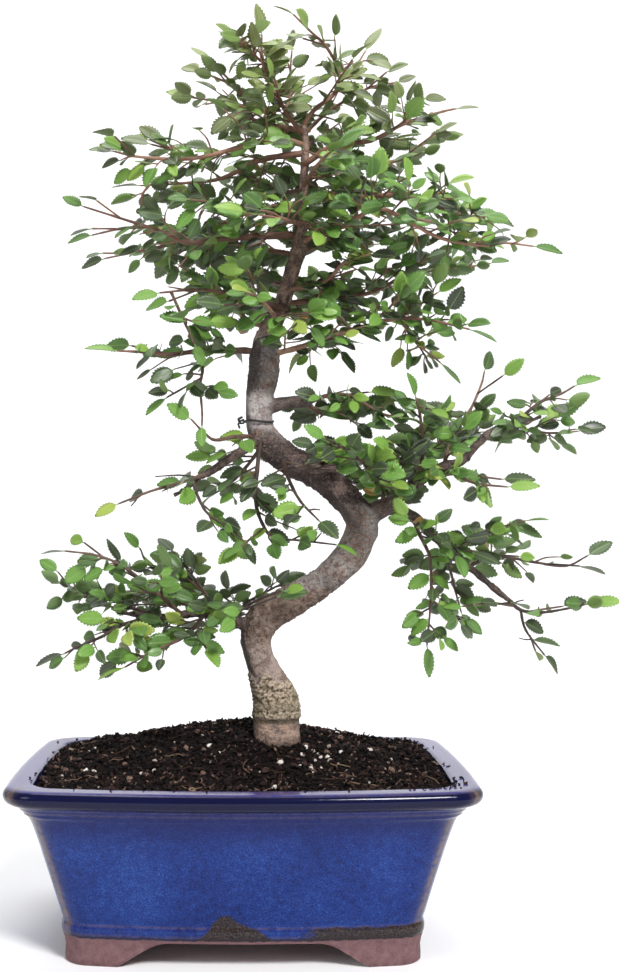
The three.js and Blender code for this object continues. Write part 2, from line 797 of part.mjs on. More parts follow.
// Points spread over a blade, to test whether it crosses anything
function leafSamples(leaf) {
  const SPREAD = [
    [0.16, 0],
    [0.5, 0],
    [0.8, 0],
    [1.0, 0],
    [0.24, 0.7],
    [0.24, -0.7],
    [0.48, 0.95],
    [0.48, -0.95],
    [0.74, 0.7],
    [0.74, -0.7],
  ];
  return SPREAD.map(([u, v]) =>
    add(add(leaf.at, leaf.frame.length, u * leaf.size), leaf.frame.side, (v * leaf.size * leaf.width) / 2),
  );
}

function bladeHit(samples, leaf, clearance) {
  return samples.some((p) => {
    const d = add(p, leaf.at, -1);
    const u = dot(d, leaf.frame.length);
    const v = Math.abs(dot(d, leaf.frame.side));
    const w = Math.abs(dot(d, leaf.frame.normal));
    return w < clearance && u > 0 && u < leaf.size + 1 && v < (leaf.size * leaf.width) / 2 + 1;
  });
}

function leafFits(leaf, leaves, stretches) {
  const samples = leafSamples(leaf);
  for (const other of leaves) {
    const reach = leaf.size + other.size + 2;
    if (distance(leaf.at, other.at) > reach) continue;
    const clearance = other.owner === leaf.owner ? OWN_LEAF_CLEARANCE : LEAF_CLEARANCE;
    if (bladeHit(samples, other, clearance) || bladeHit(other.samples, leaf, clearance)) return false;
  }
  const outer = samples.slice(1);
  for (const s of stretches) {
    const reach = leaf.size + s.radius + distance(s.from, s.to) + 2;
    if (distance(leaf.at, s.from) > reach) continue;
    const own = s.owner === leaf.owner;
    const tested = own ? outer : samples;
    const room = s.radius + (own ? OWN_TWIG_ROOM : OTHER_WOOD_ROOM);
    if (tested.some((p) => pointToStretch(p, s.from, s.to) < room)) return false;
  }
  return true;
}

// The middle of the foliage, which its leaves face away from
const FACING_CENTRE = [30, 0, 260];

// Draws one leaf on a twig, at a place along it and on one side of it.
function drawLeaf(owner, place, sideSign, isTip, random) {
  const across = acrossOf(place.along);
  const spread = isTip ? 0.25 * (random() - 0.5) : sideSign * (0.75 + 0.35 * random());
  const lift = 0.35 * (random() - 0.62);
  let out = add([0, 0, 0], place.along, 0.62);
  out = add(out, across, spread);
  out = add(out, [0, 0, 1], lift);
  const away = unit(add(place.at, FACING_CENTRE, -1));
  const facing = [
    0.45 * away[0] + 0.9 * (random() - 0.5),
    0.45 * away[1] - 0.55 + 0.9 * (random() - 0.5),
    0.55 + 0.5 * (random() - 0.5),
  ];
  const size = LEAF_LENGTH[0] + (LEAF_LENGTH[1] - LEAF_LENGTH[0]) * random();
  const leaf = { owner, at: place.at, frame: leafFrame(out, facing), size, width: LEAF_WIDTH_SHARE };
  leaf.samples = leafSamples(leaf);
  return leaf;
}

// Grows the side twigs of every spray, and then the leaves, one in every few where a real twig has one.
function growFoliage() {
  const random = randomSource(SEED);
  const stretches = [];
  const wood = [TRUNK, ...LIMBS];
  for (const route of wood) {
    stretches.push(...stretchesOf(route.map((p) => p.slice(0, 3)), route.map((p) => p[3]), "wood"));
  }
  const twigs = [];
  for (const [owner, routes] of Object.entries(SPRAYS)) {
    routes.forEach(({ radius, points }, order) => {
      const radii = taper(radius, points.length);
      twigs.push({ owner, points, radii, main: true, order });
      stretches.push(...stretchesOf(points, radii, owner));
    });
  }
  for (const main of [...twigs]) {
    const length = routeLength(main.points);
    let sign = 1;
    let s = Math.max(14, 0.22 * length);
    while (s < length - 8) {
      const place = placeAt(main.points, s);
      sign = -sign;
      const reach = Math.min(26, 11 + 0.3 * (length - s)) * (0.8 + 0.4 * random());
      const rise = 0.5 * (random() - 0.35);
      for (const turn of [sign, -sign]) {
        let out = add([0, 0, 0], place.along, 0.62);
        out = add(out, acrossOf(place.along), turn * 0.8);
        out = unit(add(out, [0, 0, 1], rise));
        const end = add(place.at, out, reach);
        const clear = stretches.every(
          (t) =>
            t.owner === main.owner ||
            stretchDistance(place.at, end, t.from, t.to) > t.radius + SIDE_TWIG_RADIUS + 1.2,
        );
        if (!clear) continue;
        const points = [place.at, end];
        const radii = [SIDE_TWIG_RADIUS, TWIG_TIP_RADIUS];
        twigs.push({ owner: main.owner, points, radii, main: false });
        stretches.push(...stretchesOf(points, radii, main.owner));
        break;
      }
      s += SIDE_TWIG_SPACING * (0.85 + 0.3 * random());
    }
  }
  const leaves = [];
  for (const t of twigs) {
    const length = routeLength(t.points);
    const start = t.main ? Math.max(12, 0.3 * length) : 6;
    const count = Math.max(1, Math.round((length - start) / LEAF_SPACING));
    for (let k = count; k >= 0; k -= LEAVES_BUILT) {
      const place = placeAt(t.points, Math.min(start + ((length - start) * k) / count, length - 0.4));
      for (let attempt = 0; attempt < LEAF_TRIES; attempt++) {
        const sideSign = (k + attempt) % 2 === 0 ? 1 : -1;
        const leaf = drawLeaf(t.owner, place, sideSign, k === count, random);
        if (leafFits(leaf, leaves, stretches)) {
          leaves.push(leaf);
          break;
        }
      }
    }
  }
  return { twigs, leaves };
}

// A blade with a ridge under its midrib and a toothed edge, folded up a little along the midrib.
// Its pointed root is sunk in the twig.
function leafSolid({ at, frame, size, width }) {
  const place = (u, v, w) => add(add(add(at, frame.length, u), frame.side, v), frame.normal, w);
  const half = (size * width) / 2;
  const positions = [
    place(-LEAF_ROOT_SUNK, 0, 0),
    place(LEAF_CREST * size, 0, LEAF_THICKNESS * 0.4),
    place(LEAF_CREST * size, 0, -LEAF_THICKNESS * 0.6),
    place(size, 0, -LEAF_DROOP * size),
  ];
  const [ROOT, TOP, UNDER, TIP] = [0, 1, 2, 3];
  const edges = [1, -1].map((sign) =>
    LEAF_EDGE.map(([u, v]) => {
      positions.push(place(u * size, sign * v * half, LEAF_FOLD * v * half));
      return positions.length - 1;
    }),
  );
  const faces = [];
  edges.forEach((edge, i) => {
    const chain = [ROOT, ...edge, TIP];
    for (let k = 0; k + 1 < chain.length; k++) {
      const [a, b] = i === 0 ? [chain[k + 1], chain[k]] : [chain[k], chain[k + 1]];
      faces.push([TOP, a, b], [UNDER, b, a]);
    }
  });
  return solidOf(positions, faces);
}

// Whether every edge still has two faces once points closer than the joining tolerance are one.
function closesWell(solid) {
  const { vertProperties, triVerts, numVert } = solid.getMesh();
  const numbers = new Map();
  const merged = [];
  for (let i = 0; i < numVert; i++) {
    const key = [0, 1, 2].map((c) => Math.round(vertProperties[3 * i + c] / JOINING_TOLERANCE)).join();
    if (!numbers.has(key)) numbers.set(key, numbers.size);
    merged.push(numbers.get(key));
  }
  const uses = new Map();
  for (let i = 0; i < triVerts.length; i += 3) {
    const face = [0, 1, 2].map((c) => merged[triVerts[i + c]]);
    if (new Set(face).size < 3) continue;
    face.forEach((a, c) => {
      const b = face[(c + 1) % 3];
      const key = Math.min(a, b) * numVert + Math.max(a, b);
      uses.set(key, (uses.get(key) || 0) + 1);
    });
  }
  return [...uses.values()].every((count) => count === 2);
}

// A spray is its twigs, cut clear of the wood, with its leaves joined on one after another. A leaf
// that would leave a sliver is moved a hair sideways, and left out if that doesn't help.
function makeSpray(name, foliage, woodRoom) {
  const twigs = foliage.twigs.filter((t) => t.owner === name);
  const stems = twigs.map((t) => stem(t.points, t.radii, t.main ? MAIN_TWIG_SIDES : SIDE_TWIG_SIDES));
  let spray = largestBody(joined(stems).subtract(woodRoom));
  for (const leaf of foliage.leaves.filter((l) => l.owner === name)) {
    for (const nudge of LEAF_NUDGES) {
      const moved = { ...leaf, at: add(leaf.at, leaf.frame.side, nudge) };
      const grown = spray.add(leafSolid(moved));
      if (grown.decompose().length === 1 && closesWell(grown)) {
        spray = grown;
        break;
      }
    }
  }
  return spray;
}

// The whole
const materials = {
  glaze: new THREE.MeshStandardMaterial({ color: COLOURS.glaze, roughness: 0.15, metalness: 0 }),
  soil: new THREE.MeshStandardMaterial({ color: COLOURS.soil, roughness: 0.95, metalness: 0 }),
  screen: new THREE.MeshStandardMaterial({ color: COLOURS.screen, roughness: 0.5, metalness: 0 }),
  bark: new THREE.MeshStandardMaterial({ color: COLOURS.bark, roughness: 0.85, metalness: 0 }),
  leaf: new THREE.MeshStandardMaterial({ color: COLOURS.leaf, roughness: 0.45, metalness: 0 }),
};

function namedMesh(name, solid, material) {
  const mesh = new THREE.Mesh(geometryOf(solid), material);
  mesh.name = name;
  return mesh;
}

const bonsai = new THREE.Group();
bonsai.add(namedMesh("pot", makePot(), materials.glaze));
bonsai.add(namedMesh("drain_screen_left", makeScreen(-DRAIN_HOLE_X), materials.screen));
bonsai.add(namedMesh("drain_screen_right", makeScreen(DRAIN_HOLE_X), materials.screen));
bonsai.add(namedMesh("soil", makeSoil(), materials.soil));
bonsai.add(namedMesh("trunk", makeWood(0), materials.bark));

const foliage = growFoliage();
const woodRoom = makeWood(WOOD_CLEARANCE);
for (const name of Object.keys(SPRAYS)) {
  bonsai.add(namedMesh("spray_" + name, makeSpray(name, foliage, woodRoom), materials.leaf));
}

const whole = new THREE.Box3().setFromObject(bonsai);
bonsai.position.set(-(whole.min.x + whole.max.x) / 2, -(whole.min.y + whole.max.y) / 2, -whole.min.z);

const part = new THREE.Group();
part.add(bonsai);

export default part;
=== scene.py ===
import math

import bpy
import numpy as np
from mathutils import Euler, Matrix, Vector, noise


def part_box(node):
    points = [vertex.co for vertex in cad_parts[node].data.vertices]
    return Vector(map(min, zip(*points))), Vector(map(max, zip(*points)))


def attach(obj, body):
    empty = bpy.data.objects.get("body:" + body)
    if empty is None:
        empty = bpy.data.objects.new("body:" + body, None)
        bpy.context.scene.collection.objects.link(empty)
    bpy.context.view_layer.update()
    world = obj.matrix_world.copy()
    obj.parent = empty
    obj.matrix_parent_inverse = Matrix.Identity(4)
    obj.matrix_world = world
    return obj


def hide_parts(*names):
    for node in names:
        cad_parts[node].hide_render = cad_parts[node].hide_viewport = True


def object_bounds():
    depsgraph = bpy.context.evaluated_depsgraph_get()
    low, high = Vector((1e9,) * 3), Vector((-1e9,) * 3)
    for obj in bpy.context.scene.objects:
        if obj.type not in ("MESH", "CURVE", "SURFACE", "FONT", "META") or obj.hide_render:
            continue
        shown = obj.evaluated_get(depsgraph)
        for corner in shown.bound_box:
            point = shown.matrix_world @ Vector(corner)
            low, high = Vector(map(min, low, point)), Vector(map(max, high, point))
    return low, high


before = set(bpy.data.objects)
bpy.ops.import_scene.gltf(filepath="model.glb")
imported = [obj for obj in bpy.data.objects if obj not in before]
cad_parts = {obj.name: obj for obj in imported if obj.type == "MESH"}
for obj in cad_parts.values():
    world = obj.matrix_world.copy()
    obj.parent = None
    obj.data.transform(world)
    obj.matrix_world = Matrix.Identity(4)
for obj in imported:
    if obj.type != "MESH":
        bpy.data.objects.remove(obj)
cad_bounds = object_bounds()

MM = 0.001
pot_low, pot_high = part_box("pot")
ORIGIN = np.array([(pot_low.x + pot_high.x) / 2, (pot_low.y + pot_high.y) / 2, 0.0])

# Camera, from the perspective of the pot's rim, feet and soil line in the photograph
CAMERA_DISTANCE = 607.4
CAMERA_HEIGHT = 191.4
FOCAL_PIXELS = 1261
IMAGE_HEIGHT = 972
SENSOR = 36
SHIFT_RIGHT_PIXELS = 66.5
SHIFT_UP_PIXELS = 47

# The floor, its backdrop and the soft light all round, in metres
FLOOR_HALF_WIDTH = 3.2
FLOOR_FRONT = -1.6
FLOOR_BACK = 1.5
FLOOR_BEND = 0.5
FLOOR_BEND_STEPS = 12
BACKDROP_TOP = 2.6
TREE_MIDDLE = 0.22
WORLD_STRENGTH = 0.32

# Pot
POT_HALF_WIDTH = 106
POT_HALF_DEPTH = 82
POT_HEIGHT = 81.5
POT_SIDE_BOW = 2.5
POT_FRONT_BOW = 9
POT_CORNER_RADIUS = 13
POT_DEPTH_TAPER = 1.08
POT_SIDE_STEPS = 44
POT_CORNER_STEPS = 14
FLOOR_HEIGHT = 15
UNDERSIDE_HEIGHT = 9.5
FOOT_THICKNESS = 8
FOOT_ARCH_HEIGHT = 11.5
FRONT_ARCH_TOP = 33
FRONT_ARCH_FOOT = 58
SIDE_ARCH_TOP = 18
SIDE_ARCH_FOOT = 38
DRAIN_HOLE_RADIUS = 9
DRAIN_HOLE_X = 36
DRAIN_HOLE_SIDES = 48
DRAIN_HOLE_ENDS = (5.0, 25.0)
FOOT_EDGE_RADIUS = 0.9
# How far the outside stands in from the rim, and at what height, from the foot up to the rim.
POT_OUTSIDE = [
    (25.1, 0), (24.75, 0.5), (24.7, 3), (24.9, 7), (24.4, 10), (23.9, 11.8), (23.85, 12.6),
    (23.5, 13.2), (23.25, 14.2), (23.15, 15.4), (23.15, 16.6), (23.3, 17.6), (23.6, 18.4),
    (23.7, 19.2), (23.5, 20.2), (22.9, 22), (21.8, 26), (19.4, 35), (16.8, 44.5), (14.5, 53),
    (12.1, 61), (10.8, 64.8), (9.8, 67), (9.2, 68), (8.5, 68.5), (8.0, 68.8), (7.8, 69.6),
    (7.5, 70.4), (6.9, 70.9), (6.4, 71.1), (6.1, 71.9), (5.6, 72.6), (4.9, 73.1), (3.8, 73.6),
    (2.4, 74.2), (1.3, 75), (0.5, 76.1), (0.1, 77.3), (0.0, 78.4), (0.3, 79.6), (0.9, 80.6),
    (1.8, 81.25), (2.9, 81.5), (4.6, 81.5), (7.6, 81.4), (10.0, 81.4), (11.1, 81.25),
    (11.8, 80.8), (12.3, 80), (12.8, 78.5), (13.9, 75), (18.2, 68), (30, 22), (32.3, 16),
    (34.5, FLOOR_HEIGHT),
]
# How many of these points lie up to the lip's crest
POT_LIP_POINTS = 39
# Levels at which the lip, the ledge round the soil, the dark hem and the clay end
LIP_LEVELS = (73.2, 74.4, 80.6, 81.3)
LEDGE_LEVELS = (80.9, 81.3)
HEM_LEVELS = (13.4, 14.6)
CLAY_LEVELS = (12.3, 12.9)
# Levels where the glaze is thin: their height, how far they reach and how worn they are
WORN_LEVELS = [
    (18.2, 0.45, 0.6), (13.9, 0.5, 0.5), (81.35, 0.3, 0.4), (70.8, 0.35, 0.45), (73.0, 0.3, 0.5),
]

# Soil
SOIL_GAP = 0.35
SOIL_EDGE_HEIGHT = 79
SOIL_MOUND = {"rise": 17.5, "x": 0, "y": 25, "spread_x": 48, "spread_y": 36}
SOIL_INSET = 13.0
# The soil's sides below its surface, as insets and heights
SOIL_SIDES = [(34, FLOOR_HEIGHT + 2 * SOIL_GAP + 1), (30, 22), (18.2, 68)]
SOIL_RINGS = 46
SOIL_SETTLE = 0.6
TRUNK_PLACE = (15.5, 4)
TRUNK_KEEP_OUT = 10.5

# The trunk's centre line: x, y, z and radius.
TRUNK = [
    (15, 4, 68, 11), (16, 4, 83, 11), (16.2, 4, 90, 11.3), (15.9, 4, 102, 10.8),
    (15.9, 4, 109, 10.4), (13.5, 4, 116.5, 9), (11, 3.5, 123, 7.7), (8, 3, 131, 7),
    (6.5, 2.5, 139.5, 7.2), (8.2, 2, 146.5, 7.8), (13, 1.5, 152.5, 8), (20, 1, 156.5, 7.8),
    (30, 0, 162.5, 7.2), (39.5, -1, 169, 6.9), (51, -2, 180, 7.7), (55.5, -2, 188.5, 7.8),
    (57.3, -1.5, 196, 7.8), (52.6, -0.5, 204.5, 6.7), (47, 0.5, 210.5, 7), (41, 2, 216.5, 7.2),
    (33, 3.5, 222, 7.2), (22.6, 4.5, 226.5, 6.9), (13.8, 4, 233.5, 7), (8.7, 3, 241, 6.5),
    (7.3, 2, 251.5, 6.6), (8.4, 1, 260.5, 6.8), (9.9, 0.5, 268.5, 7.2), (10.2, 0, 275, 7.2),
    (11.2, 0, 283, 6), (14.5, 0.5, 292.5, 4.7), (18.3, 1, 300.5, 3.8), (21.2, 1, 309.5, 3.6),
    (24.6, 1, 320, 3.6), (27.5, 0.5, 330, 3.6), (28.2, 0, 338, 3), (28.6, -0.5, 349.5, 2.4),
    (29.4, -1, 362.5, 2.2), (30, -1, 378.5, 2.1), (29, -1, 388, 1.8),
]

# The main limbs: x, y, z and radius.
LIMBS = [
    # The long limb to the right
    [
        (57, -1, 196, 6.4), (62.5, -1, 200.5, 5.6), (68.5, -1, 204, 5), (76, -1, 208, 4),
        (82, -2, 214, 3.3), (88, -2, 219, 2.9), (95, -3, 223, 2.5), (105, -4, 226, 2.2),
        (114, -5, 236, 1.9), (124, -6, 242.5, 1.6), (135, -6, 244, 1.3), (142, -7, 247, 1),
    ],
    # The limb that hangs below it
    [
        (66, 0, 203, 3.6), (74, 1, 202.5, 3.2), (83, 2, 199, 2.9), (89.5, 3, 192.5, 2.7),
        (98, 4, 185, 2.4), (105, 5, 178, 2.2), (112, 5, 173, 2), (124, 6, 163, 1.6),
        (131, 6, 157.5, 1.2),
    ],
    # The short cut stub
    [(10, 1, 251.5, 4.4), (20, 0, 254, 3.4), (28, -0.5, 254.5, 3), (33.5, -1, 254.5, 2.7)],
    # The limb to the middle left
    [
        (10, 1, 237.5, 3.4), (-1.5, -1, 230.5, 2.5), (-9, -2, 225.5, 2.2), (-15, -3, 221, 2),
        (-21, -3, 218, 1.7), (-26, -4, 213.5, 1.4), (-33, -5, 209, 1.1),
    ],
    # The limb under the lower left foliage
    [
        (7, 2, 144.5, 4.4), (0, 1, 147.5, 3.6), (-5, 0, 149.5, 3.2), (-12, 0, 151, 2.8),
        (-21, 0, 153, 2.4), (-30, -1, 152, 2), (-40, -1, 151, 1.6), (-50, 0, 152, 1.2),
        (-59, 1, 153, 0.9),
    ],
]


def twig(radius, *points):
    return radius, [tuple(float(c) for c in p) for p in points]


# The leafy sprays. Each has its main twig first and then the twigs that fork from it.
SPRAYS = {
    "crown_left_low": [
        twig(2.2, (9, 3, 278), (1, -2, 279), (-20, -14, 277), (-34, -24, 274), (-47, -32, 274),
            (-57, -36, 274)),
        twig(1.0, (-19, -13, 277), (-19, -17, 267), (-20, -19, 260), (-19, -22, 248), (-19, -24, 241)),
    ],
    "crown_left_b": [
        twig(2.0, (16, 0, 291), (3, 4, 294), (-7, 12, 305), (-20, 20, 316), (-32, 27, 326)),
        twig(1.0, (-19, 19, 315), (-17, 21, 326), (-17, 24, 338)),
    ],
    "crown_left_c": [
        twig(1.6, (19, -3, 299), (-1, -14, 303), (-20, -24, 304), (-38, -32, 301)),
        twig(0.9, (-33, -29, 302), (-26, -34, 286), (-22, -36, 277)),
    ],
    "crown_left_mid": [
        twig(2.2, (24, 0, 335), (1, -4, 333), (-13, -8, 331), (-27, -10, 329), (-39, -12, 334),
            (-56, -14, 339), (-75, -14, 345)),
        twig(1.0, (-44, -12, 336), (-58, -8, 336), (-72, -4, 334)),
    ],
    "crown_left_back": [
        twig(1.6, (26, 3, 326), (-4, 22, 335), (-35, 34, 338), (-58, 44, 336), (-72, 48, 334)),
    ],
    "crown_left_e": [twig(1.5, (28, -2, 350), (9, -12, 345), (-8, -26, 343), (-24, -38, 342))],
    "crown_left_f": [
        twig(2.0, (29, -1, 374), (9, 6, 373), (-4, 14, 369), (-14, 20, 367), (-32, 26, 367),
            (-52, 30, 367)),
        twig(0.9, (-47, 28, 367), (-51, 30, 362), (-51, 32, 355)),
    ],
    "crown_left_g": [
        twig(1.8, (29, -1, 378), (15, -8, 379), (-4, -18, 371), (-24, -26, 364), (-47, -32, 363),
            (-59, -34, 365)),
        twig(0.9, (-18, -22, 365), (-32, -16, 371), (-44, -12, 377)),
    ],
    "crown_left_h": [
        twig(1.6, (29, 0, 385), (6, 3, 391), (-4, 8, 400), (-25, 14, 406)),
        twig(0.9, (1, 5, 395), (-1, 10, 408), (-14, 14, 416), (-21, 18, 420)),
    ],
    "crown_top_left": [
        twig(1.5, (29, -1, 383), (21, -7, 391), (12, -6, 408), (9, -5, 421), (9, -6, 429)),
        twig(0.9, (11, -5, 415), (2, -8, 421), (-4, -12, 425)),
        twig(1.1, (20, -7, 393), (23, 4, 403), (23, 8, 415), (24, 12, 428)),
    ],
    "crown_top_right": [
        twig(1.5, (29, -1, 387), (34, -3, 394), (44, -4, 402), (46, -6, 410), (40, -8, 422),
            (31, -10, 430), (24, -10, 437)),
        twig(0.9, (45, -5, 407), (53, -2, 414), (59, 2, 424)),
    ],
    "crown_top_right_b": [
        twig(1.3, (30, 0, 384), (39, 12, 396), (51, 18, 406), (64, 22, 414), (77, 24, 417)),
    ],
    "crown_right_a": [
        twig(1.8, (29, -2, 368), (44, -8, 376), (60, -14, 376), (75, -20, 382), (91, -24, 386),
            (98, -26, 387)),
    ],
    "crown_right_b": [twig(1.7, (30, 0, 362), (50, 10, 370), (78, 20, 377), (91, 26, 387), (101, 30, 392))],
    "crown_right_c": [
        twig(2.0, (28, -1, 352), (56, -8, 351), (79, -12, 351), (93, -12, 345), (98, -10, 337),
            (97, -8, 325)),
        twig(1.0, (96, -11, 343), (104, -14, 341), (115, -18, 339)),
    ],
    "crown_right_d": [
        twig(1.7, (28, 0, 331), (39, -14, 335), (47, -26, 333), (61, -34, 339), (76, -36, 332),
            (90, -32, 326), (110, -26, 324), (122, -22, 326), (135, -20, 325)),
    ],
    "crown_right_f": [twig(1.5, (27, 1, 326), (41, 18, 335), (59, 32, 341), (81, 44, 341))],
    "crown_right_g": [twig(1.6, (21, 0, 308), (39, -10, 311), (48, -20, 318), (58, -30, 319))],
    "crown_right_h": [
        twig(1.6, (19, 1, 302), (48, 12, 307), (66, 22, 312), (84, 28, 322), (106, 32, 325),
            (126, 36, 329)),
    ],
    "crown_right_low": [
        twig(1.8, (12, 0, 277), (27, -6, 280), (46, -10, 286), (65, -12, 291), (74, -14, 293),
            (91, -16, 304)),
        twig(1.0, (72, -13, 293), (87, -18, 291), (105, -22, 286)),
        twig(0.9, (75, -14, 293), (80, -12, 283), (93, -12, 272)),
    ],
    "crown_front_a": [twig(1.5, (17, -1, 294), (13, -28, 293), (8, -52, 294), (3, -70, 294))],
    "crown_front_b": [twig(1.5, (28, -1, 340), (22, -30, 334), (17, -56, 329), (14, -72, 325))],
    "crown_front_c": [twig(1.4, (29, -2, 358), (32, -26, 358), (35, -48, 357), (38, -60, 357))],
    "crown_back_a": [twig(1.6, (17, 2, 298), (29, 30, 305), (39, 54, 316), (47, 74, 326))],
    "crown_back_b": [twig(1.6, (22, 2, 311), (10, 34, 320), (-2, 58, 331), (-11, 76, 338))],
    "crown_back_c": [twig(1.5, (28, 0, 343), (38, 30, 354), (50, 54, 366), (59, 70, 374))],
    "crown_back_d": [twig(1.5, (29, 0, 357), (19, 28, 363), (6, 48, 375), (-4, 62, 383))],
    "crown_back_e": [twig(1.3, (30, 0, 378), (37, 22, 388), (49, 38, 401))],
    "middle_left_a": [
        twig(1.4, (6, 1, 238), (-4, -10, 237), (-13, -16, 235), (-18, -20, 238), (-24, -24, 244)),
    ],
    "middle_left_b": [
        twig(1.2, (-18, -3, 219.5), (-30, -12, 215), (-43, -18, 211), (-58, -20, 205)),
        twig(1.0, (-24, -8, 217), (-21, -12, 208), (-16, -15, 200), (-4, -16, 192), (0, -16, 187)),
    ],
    "middle_left_d": [twig(1.3, (11, 4, 236), (3, 20, 226), (-6, 34, 217), (-16, 44, 211))],
    "middle_left_e": [twig(1.4, (19, 3, 228), (21, -22, 217), (26, -34, 206), (34, -42, 197))],
    "middle_left_f": [
        twig(1.4, (9, 1, 239), (7, -9, 224), (6, -11, 206), (10, -17, 194), (15, -20, 189), (26, -22, 188),
            (43, -24, 186)),
    ],
    "pad_left_a": [
        twig(1.3, (-12, 0, 151), (-17, 5, 160), (-26, 10, 172), (-34, 14, 182)),
        twig(0.9, (-26, 10, 171), (-45, 6, 176), (-50, 4, 184)),
    ],
    "pad_left_b": [
        twig(1.2, (-29, -1, 152), (-42, -10, 164), (-57, -14, 176), (-69, -16, 181), (-83, -18, 183)),
    ],
    "pad_left_c": [
        twig(1.2, (-40, 0, 151), (-55, 10, 155), (-68, 14, 161), (-81, 18, 160), (-92, 20, 172)),
    ],
    "pad_left_d": [
        twig(1.2, (-44, -1, 151), (-57, -12, 148), (-66, -20, 143), (-76, -24, 139), (-82, -26, 136)),
    ],
    "pad_left_e": [twig(1.3, (-18, 0, 153), (-27, -14, 143), (-43, -24, 136), (-54, -30, 130))],
    "pad_left_f": [twig(1.2, (-8, 0, 150), (1, -20, 157), (9, -34, 162), (19, -44, 166))],
    "pad_left_g": [twig(1.3, (-16, 0, 152), (-26, 22, 155), (-40, 40, 157), (-55, 54, 160))],
    "pad_left_h": [twig(1.2, (-3, 1, 149), (1, 20, 156), (13, 36, 162), (24, 48, 167))],
    "middle_right_a": [
        twig(1.4, (32, -1, 254.5), (41, -6, 257), (51, -12, 256), (64, -16, 248), (73, -20, 245)),
    ],
    "middle_right_b": [twig(1.3, (29, 0, 254), (40, 14, 250), (53, 26, 252), (67, 36, 258))],
    "middle_right_c": [twig(1.4, (69, -1, 205), (60, -20, 219), (50, -32, 228), (37, -40, 234))],
    "middle_right_d": [twig(1.4, (85, -2, 217), (85, -12, 231), (83, -18, 245), (80, -24, 254))],
    "middle_right_e": [
        twig(1.3, (96, -3, 223), (103, 12, 239), (113, 22, 252), (120, 28, 266), (122, 30, 273)),
    ],
    "middle_right_f": [
        twig(1.2, (123, -6, 242), (131, -12, 246), (140, -14, 253), (150, -12, 257), (157, -10, 261)),
        twig(1.0, (128, -9, 244), (138, 2, 241), (150, 6, 240), (163, 8, 241)),
    ],
    "middle_right_h": [twig(1.4, (92, -2.5, 221.5), (97, -24, 219), (105, -36, 214), (118, -44, 212))],
    "middle_right_i": [twig(1.4, (79, -1, 211), (86, 26, 225), (97, 46, 234), (110, 62, 239))],
    "middle_right_j": [twig(1.3, (72, -1, 206), (69, 26, 217), (61, 44, 224), (54, 56, 229))],
    "low_right_a": [
        twig(1.3, (82, 2, 199), (84, -10, 190), (88, -14, 179), (88, -16, 160), (86, -18, 139)),
    ],
    "low_right_b": [
        twig(1.2, (128, 6, 160), (135, 6, 154), (144, 2, 153), (155, -2, 155), (166, -6, 158)),
        twig(0.9, (135, 6, 154), (138, 8, 144), (147, 8, 132)),
        twig(0.9, (132, 6, 156), (118, -8, 158), (103, -16, 157)),
    ],
    "low_right_c": [
        twig(1.2, (109, 5, 175), (124, 12, 180), (144, 16, 177), (160, 18, 175), (171, 19, 180)),
    ],
    "low_right_d": [twig(1.2, (101, 4.5, 182), (110, -10, 190), (120, -20, 194), (130, -26, 197))],
    "low_right_e": [twig(1.2, (94, 4, 188), (102, 22, 178), (108, 34, 162), (112, 40, 151))],
}

# Foliage of the solids, whose rule and seed are repeated here
WOOD = -1
SEED = 20417
SIDE_TWIG_SPACING = 34
SIDE_TWIG_RADIUS = 0.5
SIDE_TWIG_ROOM = 1.2
LEAF_SPACING = 8.5
LEAVES_BUILT = 4
LEAF_TRIES = 7
LEAF_LENGTH = (10.5, 16)
LEAF_WIDTH_SHARE = 0.52
FACING_CENTRE = np.array([30.0, 0.0, 260.0])
# How far a leaf keeps clear of leaves of its own spray and of others, and of wood in the same way
LEAF_ROOM = (1.2, 1.7, 0.5, 1.5)

# Foliage that the real tree has between
MORE_SEED = 7
LOOK_SEED = 11
MORE_TWIG_SPACING = 13
MORE_TWIG_TRIES = 7
MORE_LEAF_SPACING = 10.6
MORE_LEAF_LENGTH = (7.5, 14.5)
MORE_LEAF_WIDTH = 0.56
MORE_LEAF_ROOM = (0.3, 0.4, 0.05, 0.45)
MORE_TRIES = 5
# The longest that a shoot gets on the solids' twigs, and on other shoots where it is thick
SHOOT_REACH = 27
SHOOT_ON_SHOOT_REACH = 15
THICK_DENSITY = 0.65
LEAST_SHOOT_DENSITY = 0.2
LEAST_LEAF_DENSITY = 0.1
LEAST_LEAF_GAP = 2.0
SHOOT_ROOM = (0.6, 0.9)
MAIN_SHOOT_RADII = [0.52, 0.42, 0.3]
SHOOT_RADII = [0.4, 0.34, 0.28]
STALK_RADII = [0.36, 0.3, 0.26]
YOUNG_SHARE = 0.035
TWIG_SHARE = 0.85
LIMB_SHARE = 0.9
MOST_STRETCHES = 12000
MOST_LEAVES = 5000
cad_low, cad_high = [(np.array(corner) - ORIGIN) / MM for corner in cad_bounds]
ROOM_LOW = cad_low + [-1, -1, 105]
ROOM_HIGH = cad_high + [1, 1, 1]
